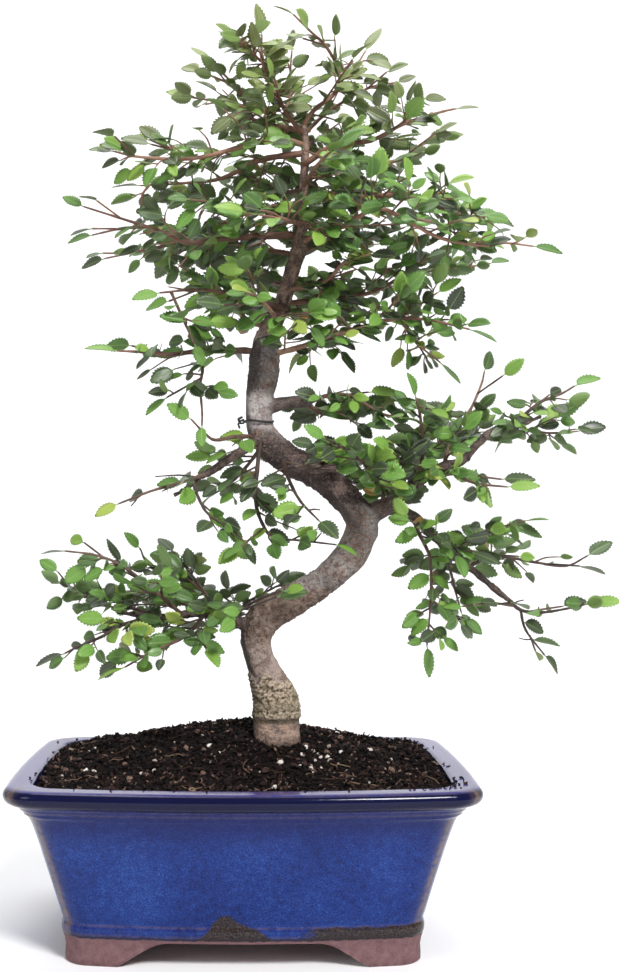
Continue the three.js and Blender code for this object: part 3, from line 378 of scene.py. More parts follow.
# How thick the foliage is, over stretches of the width and height. The first that fits counts.
COMMON_DENSITY = 0.5
DENSITIES = [
    (0.1, -90, -40, 366, 392), (0.35, -42, -2, 371, 392), (0.75, -42, 10, 340, 371),
    (1.0, 95, 140, 330, 352), (0.2, -42, -20, 296, 314), (0.15, -90, -59, 313, 352),
    (0.12, -42, -1, 236, 256), (0.2, -60, -21, 198, 236), (0.1, -100, -21, 180, 200),
    (0.15, 95, 175, 255, 276), (0.2, 134, 185, 160, 198), (0.25, 114, 155, 118, 160),
    (0.25, 18, 95, 256, 271), (0.4, -24, -3, 388, 430), (1.0, -26, 22, 388, 446),
    (0.85, 50, 78, 371, 412), (0.75, 112, 153, 236, 256), (0.15, 112, 153, 200, 236),
    (0.9, -104, -76, 136, 162), (0.8, -42, -18, 294, 352), (0.95, 16, 95, 271, 296),
    (1.0, -22, 4, 256, 276), (0.95, 14, 76, 228, 258), (0.85, 16, 112, 214, 256),
    (0.6, -24, 58, 178, 224), (0.75, 56, 134, 140, 217), (0.68, -98, 4, 134, 184),
    (0.7, -40, 100, 296, 372),
]
# Places that stay open, as boxes of low and high corners, such as before the bare trunk
OPEN_PLACES = [
    ((13, -90, 292), (27, -4, 336)), ((24, -90, 346), (34, -4, 388)),
    ((-2, -90, 232), (16, -5, 276)), ((2, -90, 218), (28, -5, 240)),
    ((24, -90, 203), (52, -5, 222)), ((0, -90, 60), (30, -5, 165)),
    ((22, -90, 148), (44, -5, 180)), ((38, -90, 163), (62, -5, 204)),
    ((22, -90, 60), (76, 90, 145)),
]
# Points spread over a blade, as shares of its length and half width, to test what it crosses
BLADE_SAMPLES = np.array([
    (0.16, 0), (0.5, 0), (0.8, 0), (1.0, 0), (0.24, 0.7), (0.24, -0.7),
    (0.48, 0.95), (0.48, -0.95), (0.74, 0.7), (0.74, -0.7),
])
# A leaf's blade, as shares of its length from the petiole's end and of its half width
BLADE_WIDTH = [
    (0, 0.06), (0.05, 0.42), (0.13, 0.72), (0.25, 0.93), (0.4, 1.0), (0.55, 0.98),
    (0.68, 0.84), (0.8, 0.62), (0.9, 0.37), (0.96, 0.18), (1, 0),
]
# Where the teeth of its edge start, and where the last of them ends
BLADE_STEPS = [0, 0.11, 0.23, 0.355, 0.48, 0.605, 0.73, 0.85, 0.955]
BLADE_START = 0.1
LEAF_SHIFT = 1.2
LEAF_SLOT = 0
TWIG_SLOT = 1
BLADE_THICKNESS = (0.12, -0.16)

# Zones of the trunk by height, as low and high ends, for its relief and its bark
CORK_COLLAR = (102, 122)
ROOT_FLARE = (40, 102)
# Scabby zones also have the softness of their ends and how scabby they are
SCABBY_ZONES = [(205, 240, 8, 1.0), (262, 330, 10, 0.5), (138, 170, 10, 0.9)]
PINK_FOOT = (60, 139)
MOSSY_COLLAR = (101, 116)
CORK_REACH = (101, 128)
GROOVE = (100.2, 102.6)
# Zone where the trunk's left-facing side is given painted shade
SHADED_LEFT_EDGE = (116, 158)
TAN_BEND = (139, 164)
SCAB_MARKS = (136, 188)
DARK_BEND = (204, 238)
PALE_BAND = (241, 257)
# Zone where the leader is darker, with painted shade on its left-facing side
SHADED_LEADER = (259, 284)
UPPER_LEADER = (280, 292)
EARTHY_FOOT = (90, 95)
WARM_FOOT = (102, 118)
TRUNK_SIDES = 32
LIMB_SIDES = 18
LIMB_BLEND = 2.5
TRUNK_VOXEL = 0.6

# The tie round the trunk, and the bends of its tail and knot from its end
TIE_CENTRE = np.array([7.4, 2.3, 244.6])
TIE_RADIUS = 7.2
TIE_THICKNESS = 0.55
TIE_STEPS = 60
TIE_START = 175
TIE_SWEEP = 370
TIE_TAIL = [(-1.4, -0.9, -0.6), (-2.6, -0.7, -2.2), (-1.9, -1.2, -4.2)]
TIE_KNOT = [(-0.6, -1.1, 1.2), (-2.4, -1.6, 0.2), (-1.6, -0.4, -1.6), (-0.4, -1.4, -1.8)]

# Grains on the soil: how many, their least and most sizes, how far they tilt and how high they lie
SOIL_SEED = 5
CRUMB_KINDS = [
    (4600, [0.8, 0.7, 0.6], [2.4, 1.8, 1.5], 0.8, 0.5),
    (3000, [1.6, 0.7, 0.5], [4.8, 1.6, 1.2], 1.1, 0.8),
    (700, [2.2, 1.8, 1.4], [4.6, 3.6, 3.2], 0.5, 0.5),
]
PERLITE_KINDS = [
    (70, [0.9, 0.8, 0.7], [2.0, 1.7, 1.4], 0.5, 0.9),
    (34, [1.8, 1.6, 1.2], [3.6, 3.0, 2.2], 0.4, 0.8),
]
# Perlite that lies together right of the trunk: how many, their middle and their reach
PERLITE_GATHERED = (13, 33.0, -15.0, 9.0, 16.0)
PERLITE_SPREAD = 0.95
GRAIN_ROUGHNESS = 0.32
GOLDEN_RATIO = (1 + math.sqrt(5)) / 2
# A grain's shape before it is made rough: the corners and faces of a twenty-sided lump
LUMP_POINTS = np.array([
    (-1, GOLDEN_RATIO, 0), (1, GOLDEN_RATIO, 0), (-1, -GOLDEN_RATIO, 0), (1, -GOLDEN_RATIO, 0),
    (0, -1, GOLDEN_RATIO), (0, 1, GOLDEN_RATIO), (0, -1, -GOLDEN_RATIO), (0, 1, -GOLDEN_RATIO),
    (GOLDEN_RATIO, 0, -1), (GOLDEN_RATIO, 0, 1), (-GOLDEN_RATIO, 0, -1), (-GOLDEN_RATIO, 0, 1),
]) / math.hypot(1, GOLDEN_RATIO)
LUMP_FACES = [
    (0, 11, 5), (0, 5, 1), (0, 1, 7), (0, 7, 10), (0, 10, 11), (1, 5, 9), (5, 11, 4), (11, 10, 2),
    (10, 7, 6), (7, 1, 8), (3, 9, 4), (3, 4, 2), (3, 2, 6), (3, 6, 8), (3, 8, 9), (4, 9, 5),
    (2, 4, 11), (6, 2, 10), (8, 6, 7), (9, 8, 1),
]
FIBRE_COUNT = 150
FIBRE_SPREAD = 0.97
# Crumbs spilled on the rim, and the share of them near its right front corner
SPILLED_COUNT = 60
SPILLED_SIZES = ([0.6, 0.5, 0.4], [2.4, 1.5, 1.1])
SPILL_INSET = (5.0, 11.0)
SPILL_CORNER = (72, -35)
SPILL_CORNER_SHARE = 0.6


# Small vector sums
def vec(*values):
    return np.array(values, float)


def unit(a):
    return a / math.sqrt(float(a @ a))


def random_source(seed):
    """A seeded source of numbers from 0 to 1."""
    state = seed & 0xFFFFFFFF

    def draw():
        nonlocal state
        state = (state + 0x6D2B79F5) & 0xFFFFFFFF
        t = state
        t = ((t ^ (t >> 15)) * (t | 1)) & 0xFFFFFFFF
        t ^= (t + (((t ^ (t >> 7)) * (t | 61)) & 0xFFFFFFFF)) & 0xFFFFFFFF
        return ((t ^ (t >> 14)) & 0xFFFFFFFF) / 4294967296

    return draw


# Routes of twigs
def place_at(points, length):
    """Where a place along a route lies, and the route's direction there."""
    left = length
    for i in range(len(points) - 1):
        step = points[i + 1] - points[i]
        size = math.sqrt(float(step @ step))
        if left <= size or i + 2 == len(points):
            along = step / size
            return points[i] + along * min(left, size), along
        left -= size


def route_length(points):
    return float(np.linalg.norm(np.diff(points, axis=0), axis=1).sum())


def taper(radius, count, tip=0.5):
    return [radius + (min(tip, radius) - radius) * i / (count - 1) for i in range(count)]


def across_of(along):
    """The level direction across a twig."""
    if abs(along[2]) > 0.93:
        return unit(np.cross(along, vec(0, 1, 0)))
    return unit(vec(along[1], -along[0], 0))


def smooth_route(points, radii, steps):
    """A curve through the points of a route, with its radii."""
    points = np.asarray(points, float)
    padded = np.vstack([2 * points[0] - points[1], points, 2 * points[-1] - points[-2]])
    places = []
    widths = []
    for i in range(len(points) - 1):
        a, b, c, d = padded[i : i + 4]
        for k in range(steps):
            t = k / steps
            curve = 2 * b + (c - a) * t + (2 * a - 5 * b + 4 * c - d) * t**2
            places.append(0.5 * (curve + (3 * b - a - 3 * c + d) * t**3))
            widths.append(radii[i] + (radii[i + 1] - radii[i]) * t)
    places.append(points[-1])
    widths.append(radii[-1])
    return np.array(places), np.array(widths)


class Stretches:
    """All the round stretches of wood that foliage has to keep clear of, each with its owner."""

    def __init__(self):
        self.start = np.zeros((MOST_STRETCHES, 3))
        self.end = np.zeros((MOST_STRETCHES, 3))
        self.radius = np.zeros(MOST_STRETCHES)
        self.size = np.zeros(MOST_STRETCHES)
        self.owner = np.zeros(MOST_STRETCHES, int)
        self.count = 0

    def add(self, points, radii, owner):
        for i in range(len(points) - 1):
            n = self.count
            self.start[n] = points[i]
            self.end[n] = points[i + 1]
            self.radius[n] = max(radii[i], radii[i + 1])
            self.size[n] = np.linalg.norm(points[i + 1] - points[i])
            self.owner[n] = owner
            self.count += 1

    def distances(self, p, q):
        """The shortest distance from the stretch p to q to each stretch."""
        r, s = self.start[: self.count], self.end[: self.count]
        d1 = q - p
        d2 = s - r
        between = p - r
        a = float(d1 @ d1)
        e = np.maximum((d2 * d2).sum(1), 1e-9)
        f = (d2 * between).sum(1)
        c = between @ d1
        b = d2 @ d1
        scale = a * e - b * b
        safe = np.where(scale > 1e-9, scale, 1)
        t = np.where(scale > 1e-9, np.clip((b * f - c * e) / safe, 0, 1), 0)
        u = (b * t + f) / e
        t = np.where(u < 0, np.clip(-c / a, 0, 1), np.where(u > 1, np.clip((b - c) / a, 0, 1), t))
        u = np.clip(u, 0, 1)
        return np.linalg.norm(p + d1 * t[:, None] - r - d2 * u[:, None], axis=1)

    def room(self, owner, own_room, other_room):
        """How near to each stretch's middle line something of an owner may come."""
        own = self.owner[: self.count] == owner
        return self.radius[: self.count] + np.where(own, own_room, other_room)


def blade_is_hit(local, clear, size, width):
    """Whether places, in a blade's own directions from its petiole, come too near to the blade."""
    across = np.abs(local[:, :, 2]) < size * width / 2 + 1
    along = (local[:, :, 0] > 0) & (local[:, :, 0] < size + 1)
    return (across & along & (np.abs(local[:, :, 1]) < clear[:, None])).any()


class Leaves:
    """The leaves grown so far, held as arrays so that a new one is tested against them all."""

    def __init__(self):
        self.at = np.zeros((MOST_LEAVES, 3))
        self.frame = np.zeros((MOST_LEAVES, 3, 3))
        self.size = np.zeros(MOST_LEAVES)
        self.width = np.zeros(MOST_LEAVES)
        self.owner = np.zeros(MOST_LEAVES, int)
        self.samples = np.zeros((MOST_LEAVES, len(BLADE_SAMPLES), 3))
        self.count = 0

    @staticmethod
    def samples_of(leaf):
        length, _, side = leaf["frame"]
        u = BLADE_SAMPLES[:, :1] * leaf["size"]
        v = BLADE_SAMPLES[:, 1:] * leaf["size"] * leaf["width"] / 2
        return leaf["at"] + u * length + v * side

    def add(self, leaf, samples):
        n = self.count
        for key, value in leaf.items():
            getattr(self, key)[n] = value
        self.samples[n] = samples
        self.count += 1

    def fits(self, leaf, samples, stretches, own_clear, other_clear, own_room, other_room):
        """Whether a leaf keeps clear of the other leaves and of the wood."""
        n = self.count
        near = np.linalg.norm(self.at[:n] - leaf["at"], axis=1) <= leaf["size"] + self.size[:n] + 2
        ids = np.nonzero(near)[0]
        if len(ids):
            clear = np.where(self.owner[ids] == leaf["owner"], own_clear, other_clear)
            local = np.einsum("ijk,ilk->ijl", samples[None] - self.at[ids][:, None], self.frame[ids])
            if blade_is_hit(local, clear, self.size[ids][:, None], self.width[ids][:, None]):
                return False
            local = (self.samples[ids] - leaf["at"]) @ leaf["frame"].T
            if blade_is_hit(local, clear, leaf["size"], leaf["width"]):
                return False
        m = stretches.count
        reach = leaf["size"] + stretches.radius[:m] + stretches.size[:m] + 2
        ids = np.nonzero(np.linalg.norm(stretches.start[:m] - leaf["at"], axis=1) <= reach)[0]
        start = stretches.start[ids]
        step = stretches.end[ids] - start
        offset = samples[None] - start[:, None]
        t = np.clip((offset * step[:, None]).sum(2) / (step * step).sum(1)[:, None], 0, 1)
        gap = np.linalg.norm(offset - step[:, None] * t[:, :, None], axis=2)
        gap[stretches.owner[ids] == leaf["owner"], 0] = np.inf
        return not (gap < stretches.room(leaf["owner"], own_room, other_room)[ids][:, None]).any()


def leaf_frame(out, facing):
    """A leaf's own directions: out along the blade, its normal and its side."""
    length = unit(out)
    normal = unit(facing - length * float(facing @ length))
    return np.array([length, normal, np.cross(normal, length)])


def draw_leaf(owner, at, along, side_sign, is_tip, random):
    """Draws one of the solids' leaves on a twig, at a place along it and on one side of it."""
    spread = 0.25 * (random() - 0.5) if is_tip else side_sign * (0.75 + 0.35 * random())
    lift = 0.35 * (random() - 0.62)
    out = along * 0.62 + across_of(along) * spread + vec(0, 0, lift)
    away = unit(at - FACING_CENTRE)
    facing = vec(
        0.45 * away[0] + 0.9 * (random() - 0.5),
        0.45 * away[1] - 0.55 + 0.9 * (random() - 0.5),
        0.55 + 0.5 * (random() - 0.5),
    )
    size = LEAF_LENGTH[0] + (LEAF_LENGTH[1] - LEAF_LENGTH[0]) * random()
    directions = leaf_frame(out, facing)
    return {"owner": owner, "at": at, "frame": directions, "size": size, "width": LEAF_WIDTH_SHARE}


def draw_more(owner, at, along, side_sign, is_tip, random):
    """Draws one of the further leaves, which turns its face out of the foliage and up."""
    spread = 0.3 * (random() - 0.5) if is_tip else side_sign * (0.7 + 0.4 * random())
    out = along * 0.6 + across_of(along) * spread + vec(0, 0, 0.45 * (random() - 0.6))
    away = unit(at - FACING_CENTRE)
    loose = vec(random() - 0.5, random() - 0.5, random() - 0.5)
    outward = -0.62 if at[1] < 8 else 0.5
    facing = away * vec(0.42, 0.5, 0.2) + vec(0, outward, 0.3) + 0.8 * loose
    size = MORE_LEAF_LENGTH[0] + (MORE_LEAF_LENGTH[1] - MORE_LEAF_LENGTH[0]) * random()
    width = MORE_LEAF_WIDTH * (0.84 + 0.32 * random())
    directions = leaf_frame(out, facing)
    return {"owner": owner, "at": at, "frame": directions, "size": size, "width": width}


def grow_side_twigs(main, twigs, stretches, random):
    """The side twigs of one of the solids' twigs, left and right in turn."""
    points = main["points"]
    length = route_length(points)
    sign = 1
    s = max(14, 0.22 * length)
    while s < length - 8:
        at, along = place_at(points, s)
        sign = -sign
        reach = min(26, 11 + 0.3 * (length - s)) * (0.8 + 0.4 * random())
        rise = 0.5 * (random() - 0.35)
        for turn in (sign, -sign):
            out = unit(along * 0.62 + across_of(along) * (turn * 0.8) + vec(0, 0, rise))
            end = at + out * reach
            room = stretches.room(main["owner"], -np.inf, SIDE_TWIG_RADIUS + SIDE_TWIG_ROOM)
            if (stretches.distances(at, end) <= room).any():
                continue
            radii = [SIDE_TWIG_RADIUS] * 2
            twigs.append({"owner": main["owner"], "points": [at, end], "radii": radii, "main": False})
            stretches.add([at, end], radii, main["owner"])
            break
        s += SIDE_TWIG_SPACING * (0.85 + 0.3 * random())


def grow_first():
    """The twigs and leaves that the solids also have, by the same rule and from the same seed."""
    random = random_source(SEED)
    stretches = Stretches()
    for route in [TRUNK] + LIMBS:
        stretches.add([vec(*p[:3]) for p in route], [p[3] for p in route], WOOD)
    twigs = []
    for owner, routes in enumerate(SPRAYS.values()):
        for radius, points in routes:
            points = [vec(*p) for p in points]
            radii = taper(radius, len(points))
            twigs.append({"owner": owner, "points": points, "radii": radii, "main": True})
            stretches.add(points, radii, owner)
    for main in list(twigs):
        grow_side_twigs(main, twigs, stretches, random)
    leaves = Leaves()
    for t in twigs:
        t["leafed"] = []
        length = route_length(t["points"])
        start = max(12, 0.3 * length) if t["main"] else 6
        count = max(1, math.floor((length - start) / LEAF_SPACING + 0.5))
        for k in range(count, -1, -LEAVES_BUILT):
            at, along = place_at(t["points"], min(start + (length - start) * k / count, length - 0.4))
            for attempt in range(LEAF_TRIES):
                side_sign = 1 if (k + attempt) % 2 == 0 else -1
                leaf = draw_leaf(t["owner"], at, along, side_sign, k == count, random)
                samples = Leaves.samples_of(leaf)
                if leaves.fits(leaf, samples, stretches, *LEAF_ROOM):
                    leaves.add(leaf, samples)
                    t["leafed"].append(k / count)
                    break
    return twigs, leaves, stretches


def inside_room(points):
    """Whether points stay in the box that the whole is given, and out of the open places."""
    if (points < ROOM_LOW).any() or (points > ROOM_HIGH).any():
        return False
    return not any(((points > low) & (points < high)).all(axis=1).any() for low, high in OPEN_PLACES)


def density_at(point):
    """How thick the foliage is at a place, from 0 to 1."""
    for share, x_low, x_high, z_low, z_high in DENSITIES:
        if x_low < point[0] < x_high and z_low < point[2] < z_high:
            return share
    return COMMON_DENSITY


def draw_shoot(at, along, sign, reach, random):
    """Draws the middle and end of a short bent shoot, and where it is clear of its parent."""
    rise = vec(0, 0, 1.1 * (random() - 0.46))
    aside = across_of(along) * sign * (0.3 + 0.65 * random())
    out = unit(along * (0.3 + 0.55 * random()) + aside + rise)
    end = at + out * reach
    bend = vec(random() - 0.5, random() - 0.5, random() - 0.3) * 0.16 * reach
    return (at + end) / 2 + bend, end, at + out * min(3.2, 0.4 * reach)


def grow_shoots(parents, spacing, reach_most, stretches, random):
    """Short shoots on the given twigs, closer together where the foliage is thick."""
    shoots = []
    for parent in parents:
        owner = parent["owner"]
        points = parent["points"]
        length = route_length(points)
        sign = 1 if random() < 0.5 else -1
        s = max(5, 0.1 * length) if parent["main"] else 0.25 * length
        while s < length - 2.5:
            at, along = place_at(points, s)
            thick = density_at(at)
            s += spacing * (0.7 + 0.6 * random()) * (1.5 - thick)
            if random() > 2 * thick:
                continue
            sign = -sign
            for attempt in range(MORE_TWIG_TRIES):
                reach = min(reach_most, 8 + 0.3 * (length - s)) * (0.6 + 0.6 * random())
                turn = sign if attempt % 2 == 0 else -sign
                middle, end, begun = draw_shoot(at, along, turn, reach, random)
                if density_at(end) < LEAST_SHOOT_DENSITY or not inside_room(np.array([middle, end])):
                    continue
                room = stretches.room(owner, *SHOOT_ROOM)
                gaps = np.minimum(stretches.distances(begun, middle), stretches.distances(middle, end))
                if (gaps < room).any():
                    continue
                route = [at, middle, end]
                radii = MAIN_SHOOT_RADII if parent["main"] else SHOOT_RADII
                shoots.append({"owner": owner, "points": route, "radii": radii, "main": False, "leafed": []})
                stretches.add(route, radii, owner)
                break
    return shoots


def grow_more(twigs, leaves, stretches):
    """The twigs and leaves that the real tree has between those of the solids."""
    random = random_source(MORE_SEED)
    extra = grow_shoots(twigs, MORE_TWIG_SPACING, SHOOT_REACH, stretches, random)
    thick_ones = [t for t in extra if density_at(t["points"][-1]) > THICK_DENSITY]
    spacing = 0.8 * MORE_TWIG_SPACING
    extra += grow_shoots(thick_ones, spacing, SHOOT_ON_SHOOT_REACH, stretches, random)
    for t in twigs + extra:
        length = route_length(t["points"])
        start = max(6, 0.15 * length) if t["main"] else 3
        spacing = MORE_LEAF_SPACING * (0.85 + 0.3 * random()) * (1.4 - 0.8 * density_at(t["points"][-1]))
        count = max(1, math.floor((length - start) / spacing + 0.5))
        for k in range(count, -1, -1):
            share = k / count
            if any(abs(share - taken) * (length - start) < LEAST_LEAF_GAP for taken in t["leafed"]):
                continue
            at, along = place_at(t["points"], min(start + (length - start) * share, length - 0.3))
            if random() > 2.2 * density_at(at):
                continue
            for attempt in range(MORE_TRIES):
                side_sign = 1 if (k + attempt) % 2 == 0 else -1
                leaf = draw_more(t["owner"], at, along, side_sign, k == count, random)
                samples = Leaves.samples_of(leaf)
                if not inside_room(samples) or density_at(samples[2]) < LEAST_LEAF_DENSITY:
                    continue
                if leaves.fits(leaf, samples, stretches, *MORE_LEAF_ROOM):
                    leaves.add(leaf, samples)
                    break
    return extra


# Meshes
class Batch:
    """Points and faces that are gathered for one mesh."""

    def __init__(self):
        self.places = []
        self.faces = []
        self.count = 0

    def add(self, places, faces):
        self.faces += [tuple(self.count + v for v in face) for face in faces]
        self.places.append(places)
        self.count += len(places)

    def all_places(self):
        return np.vstack(self.places)


def keep_values(mesh, values, domain="POINT"):
    """Keeps named numbers or vectors on a mesh's points or faces, for its material."""
    for key, data in values.items():
        data = np.asarray(data, np.float32)
        kind, field = ("FLOAT", "value") if data.ndim == 1 else ("FLOAT_VECTOR", "vector")
        mesh.attributes.new(key, kind, domain).data.foreach_set(field, data.ravel())


def point_vectors(mesh, key):
    """The places or the normals of a mesh's points."""
    data = np.zeros(len(mesh.vertices) * 3)
    mesh.vertices.foreach_get(key, data)
    return data.reshape(-1, 3)


def make_object(name, places, faces, materials=(), smooth=True, values=None, slots=None, face_values=None):
    """An object from places in millimetres, with named values on its points and faces."""
    mesh = bpy.data.meshes.new(name)
    mesh.from_pydata((np.asarray(places) * MM + ORIGIN).tolist(), [], faces)
    for material in materials:
        mesh.materials.append(material)
    if slots:
        mesh.polygons.foreach_set("material_index", np.asarray(slots, np.int32))
    keep_values(mesh, values or {})
    keep_values(mesh, face_values or {}, "FACE")
    mesh.polygons.foreach_set("use_smooth", np.full(len(mesh.polygons), smooth))
    mesh.validate()
    return link_object(name, mesh)


def link_object(name, data):
    made = bpy.data.objects.new(name, data)
    bpy.context.scene.collection.objects.link(made)
    return made


def evaluated(made, name):
    """The object with its modifiers applied, in place of the object."""
    graph = bpy.context.evaluated_depsgraph_get()
    mesh = bpy.data.meshes.new_from_object(made.evaluated_get(graph))
    old = made.data
    bpy.data.objects.remove(made)
    bpy.data.meshes.remove(old)
    mesh.name = name
    return link_object(name, mesh)


def modify(made, name, kind, **settings):
    modifier = made.modifiers.new(name, kind)
    for key, value in settings.items():
        setattr(modifier, key, value)


def band_faces(rings, count):
    """The faces between rings of points, and the two caps that close them."""
    faces = []
    for i in range(rings - 1):
        for j in range(count):
            a = i * count + j
            b = i * count + (j + 1) % count
            faces.append((a, b, b + count, a + count))
    last = (rings - 1) * count
    return faces + [tuple(range(count - 1, -1, -1)), tuple(range(last, last + count))]


def tube(points, radii, sides, relief=None):
    """The points and faces of a round stem along a route."""
    points = np.asarray(points, float)
    steps = np.gradient(points, axis=0)
    steps /= np.linalg.norm(steps, axis=1)[:, None]
    side = vec(0, 1, 0) if abs(steps[0][1]) < 0.9 else vec(1, 0, 0)
    turns = 2 * math.pi * np.arange(sides) / sides
    places = []
    for i, along in enumerate(steps):
        side = unit(side - along * float(side @ along))
        other = np.cross(along, side)
        r = radii[i] * (relief(turns, i) if relief else 1)
        places.append(points[i] + np.outer(r * np.cos(turns), side) + np.outer(r * np.sin(turns), other))
    return np.vstack(places), band_faces(len(points), sides)


def skin(loops):
    """The points and faces of a closed skin over loops that have the same number of points."""
    return np.vstack(loops), band_faces(len(loops), len(loops[0]))


# Leaves
def blade_width(t):
    return np.interp(t, *np.transpose(BLADE_WIDTH))


def blade_half(points, sign):
    """Adds one half of a blade to its points, and gives the half's faces."""
    count = len(BLADE_STEPS) - 1
    tip = count
    inner, notch, tooth = [], [], []
    for t, following in zip(BLADE_STEPS, BLADE_STEPS[1:]):
        gap = following - t
        inside = t + 0.3 * gap
        inner.append(len(points))
        points.append((inside, sign * 0.52 * blade_width(inside), 1))
        notch.append(len(points))
        points.append((inside, sign * 0.85 * blade_width(inside), 0))
        tooth.append(len(points))
        points.append((t + 1.14 * gap, sign * (1.05 * blade_width(t + 1.0 * gap) + 0.05), 0))
    half = [(0, notch[0], inner[0]), (inner[-1], notch[-1], tooth[-1])]
    half += [(inner[-1], tooth[-1], tip), (count - 1, inner[-1], tip), (0, inner[0], 1)]
    for i in range(count - 1):
        half.append((inner[i], notch[i], tooth[i]))
        half.append((inner[i], tooth[i], inner[i + 1]))
        half.append((tooth[i], notch[i + 1], inner[i + 1]))
        if i > 0:
            half.append((i, inner[i], i + 1))
        half.append((i + 1, inner[i], inner[i + 1]))
    return half if sign < 0 else [face[::-1] for face in half]


def closed_blade():
    """A toothed blade's points (along, across, mid), which of them are below, and its faces.

    Its upper and its under surface share the points of the edge. The under faces come last.
    """
    points = [(t, 0, 1) for t in BLADE_STEPS[:-1]] + [(1, 0, 0)]
    upper = blade_half(points, 1) + blade_half(points, -1)
    points = np.array(points, float)
    is_mid = points[:, 2] > 0
    below = np.arange(len(points))
    below[is_mid] = len(points) + np.arange(is_mid.sum())
    below[0] = 0
    places = np.vstack([points, points[is_mid]])
    is_below = np.arange(len(places)) >= len(points)
    faces = upper + [tuple(int(below[v]) for v in face[::-1]) for face in upper]
    return places, is_below, faces


BLADE = closed_blade()


def bent_blade(at, size, width, directions, random):
    """The places of one leaf's blade, folded along its midrib, bent, twisted and waved."""
    points, is_below, _ = BLADE
    t_across, is_mid = points[:, 1], points[:, 2] > 0
    length, normal, side = directions
    half = size * width / 2
    fold = 0.1 + 0.28 * random()
    droop = 0.02 + 0.12 * random()
    bend = 0.1 * (random() - 0.5)
    twist = 0.5 * (random() - 0.5)
    wave = 0.05 * random()
    phase = 6.3 * random()
    u = BLADE_START + (1 - BLADE_START) * points[:, 0]
    v = t_across * half
    rise = fold * np.abs(v) - droop * size * u**2 + wave * half * np.abs(t_across) * np.sin(9 * u + phase)
    rise += v * np.sin(twist * u)
    upper, under = BLADE_THICKNESS
    thick = np.where(is_mid, np.where(is_below, under, upper), 0)
    pleat = 0.035 * half * np.where(np.abs(t_across) > 0.02, -1, 0.4) * is_mid
    w = rise + thick + pleat * np.where(is_below, 0.6, 1)
    return at + np.outer(u * size, length) + np.outer(v + bend * size * u**2, side) + np.outer(w, normal)


class Spray(Batch):
    """The twigs and leaves of one spray, with what the materials have to know of each."""

    def __init__(self):
        super().__init__()
        self.slots = []
        self.unders = []
        self.tones = []
        self.blades = []

    def add_part(self, places, faces, slot, tone, blades=None, unders=None):
        self.add(places, faces)
        self.slots += [slot] * len(faces)
        self.unders += unders or [0.0] * len(faces)
        self.tones.append(np.full(len(places), tone))
        self.blades.append(np.zeros((len(places), 3)) if blades is None else blades)

    def add_leaf(self, at, size, width, directions, random):
        """One blade, and the stalk that carries it."""
        places = bent_blade(at, size, width, directions, random)
        points, _, faces = BLADE
        tone = 1.0 if random() < YOUNG_SHARE else 0.9 * random()
        blades = np.stack([points[:, 0], points[:, 1], np.full(len(points), random())], axis=1)
        unders = [0.0] * (len(faces) // 2) + [1.0] * (len(faces) // 2)
        self.add_part(places, faces, LEAF_SLOT, tone, blades, unders)
        length, normal, _ = directions
        bottom = at - length * 0.2
        stalk = [bottom, (bottom + places[0]) / 2 - normal * 0.15, places[0] + length * 0.4]
        places, faces = tube(stalk, STALK_RADII, 4)
        self.add_part(places, faces, LEAF_SLOT, tone, np.tile([0.02, 0.0, 0.5], (len(places), 1)))


def make_spray(name, owner, twigs, leaves, random):
    """One spray: its twigs, and its leaves with their stalks, as one piece."""
    spray = Spray()
    routes = []
    for t in [t for t in twigs if t["owner"] == owner]:
        points, radii = smooth_route(t["points"], t["radii"], 5 if t["main"] else 3)
        knots = 1 + 0.1 * np.sin(np.arange(len(radii)) * 2.3 + 5 * random())
        share = TWIG_SHARE if t["main"] else 1
        spray.add_part(*tube(points, share * radii * knots, 8 if t["main"] else 5), TWIG_SLOT, random())
        routes.append(points)
    line = np.vstack(routes)
    for i in np.nonzero(leaves.owner[: leaves.count] == owner)[0]:
        at = leaves.at[i]
        shift = line[np.argmin(np.linalg.norm(line - at, axis=1))] - at
        shift *= min(1, LEAF_SHIFT / max(float(np.linalg.norm(shift)), 1e-6))
        spray.add_leaf(at + shift, leaves.size[i], leaves.width[i], leaves.frame[i], random)
    values = {"tone": np.concatenate(spray.tones), "blade": np.vstack(spray.blades)}
    under = {"under": spray.unders}
    materials = [LEAF, TWIG_BARK]
    return make_object(name, spray.all_places(), spray.faces, materials, True, values, spray.slots, under)


# Pot
def plan_at(inset):
    """The half width, half depth, bows and corner radius of the pot's plan at an inset from the rim."""
    shrink = 1 - inset / POT_HALF_WIDTH
    bow_x = POT_SIDE_BOW * shrink
    bow_y = POT_FRONT_BOW * shrink
    half_width = POT_HALF_WIDTH - inset - bow_x
    half_depth = POT_HALF_DEPTH - inset * POT_DEPTH_TAPER - bow_y
    return half_width, half_depth, bow_x, bow_y, POT_CORNER_RADIUS * shrink


def pot_loop(inset, z, gap=0):
    """A loop of the pot's plan, inset from the rim: a rectangle with bowed sides and round corners."""
    a, b, bow_x, bow_y, r = plan_at(inset)
    a -= gap
    b -= gap
    corners = [(a - r, -b + r, -90), (a - r, b - r, 0), (-a + r, b - r, 90), (-a + r, -b + r, 180)]
    ends = []
    for x, y, start in corners:
        turns = np.radians(start + 90 * np.arange(POT_CORNER_STEPS + 1) / POT_CORNER_STEPS)
        ends.append(np.stack([x + r * np.cos(turns), y + r * np.sin(turns)], axis=1))
    flat = []
    shares = np.arange(1, POT_SIDE_STEPS)[:, None] / POT_SIDE_STEPS
    for corner, following in zip(ends, ends[1:] + ends[:1]):
        flat += [corner, corner[-1] + (following[0] - corner[-1]) * shares]
    x, y = np.vstack(flat).T
    bowed_x = x + bow_x * (1 - (y / b) ** 2) * x / a
    bowed_y = y + bow_y * (1 - (x / a) ** 2) * y / b
    return np.stack([bowed_x, bowed_y, np.full(len(x), float(z))], axis=1)


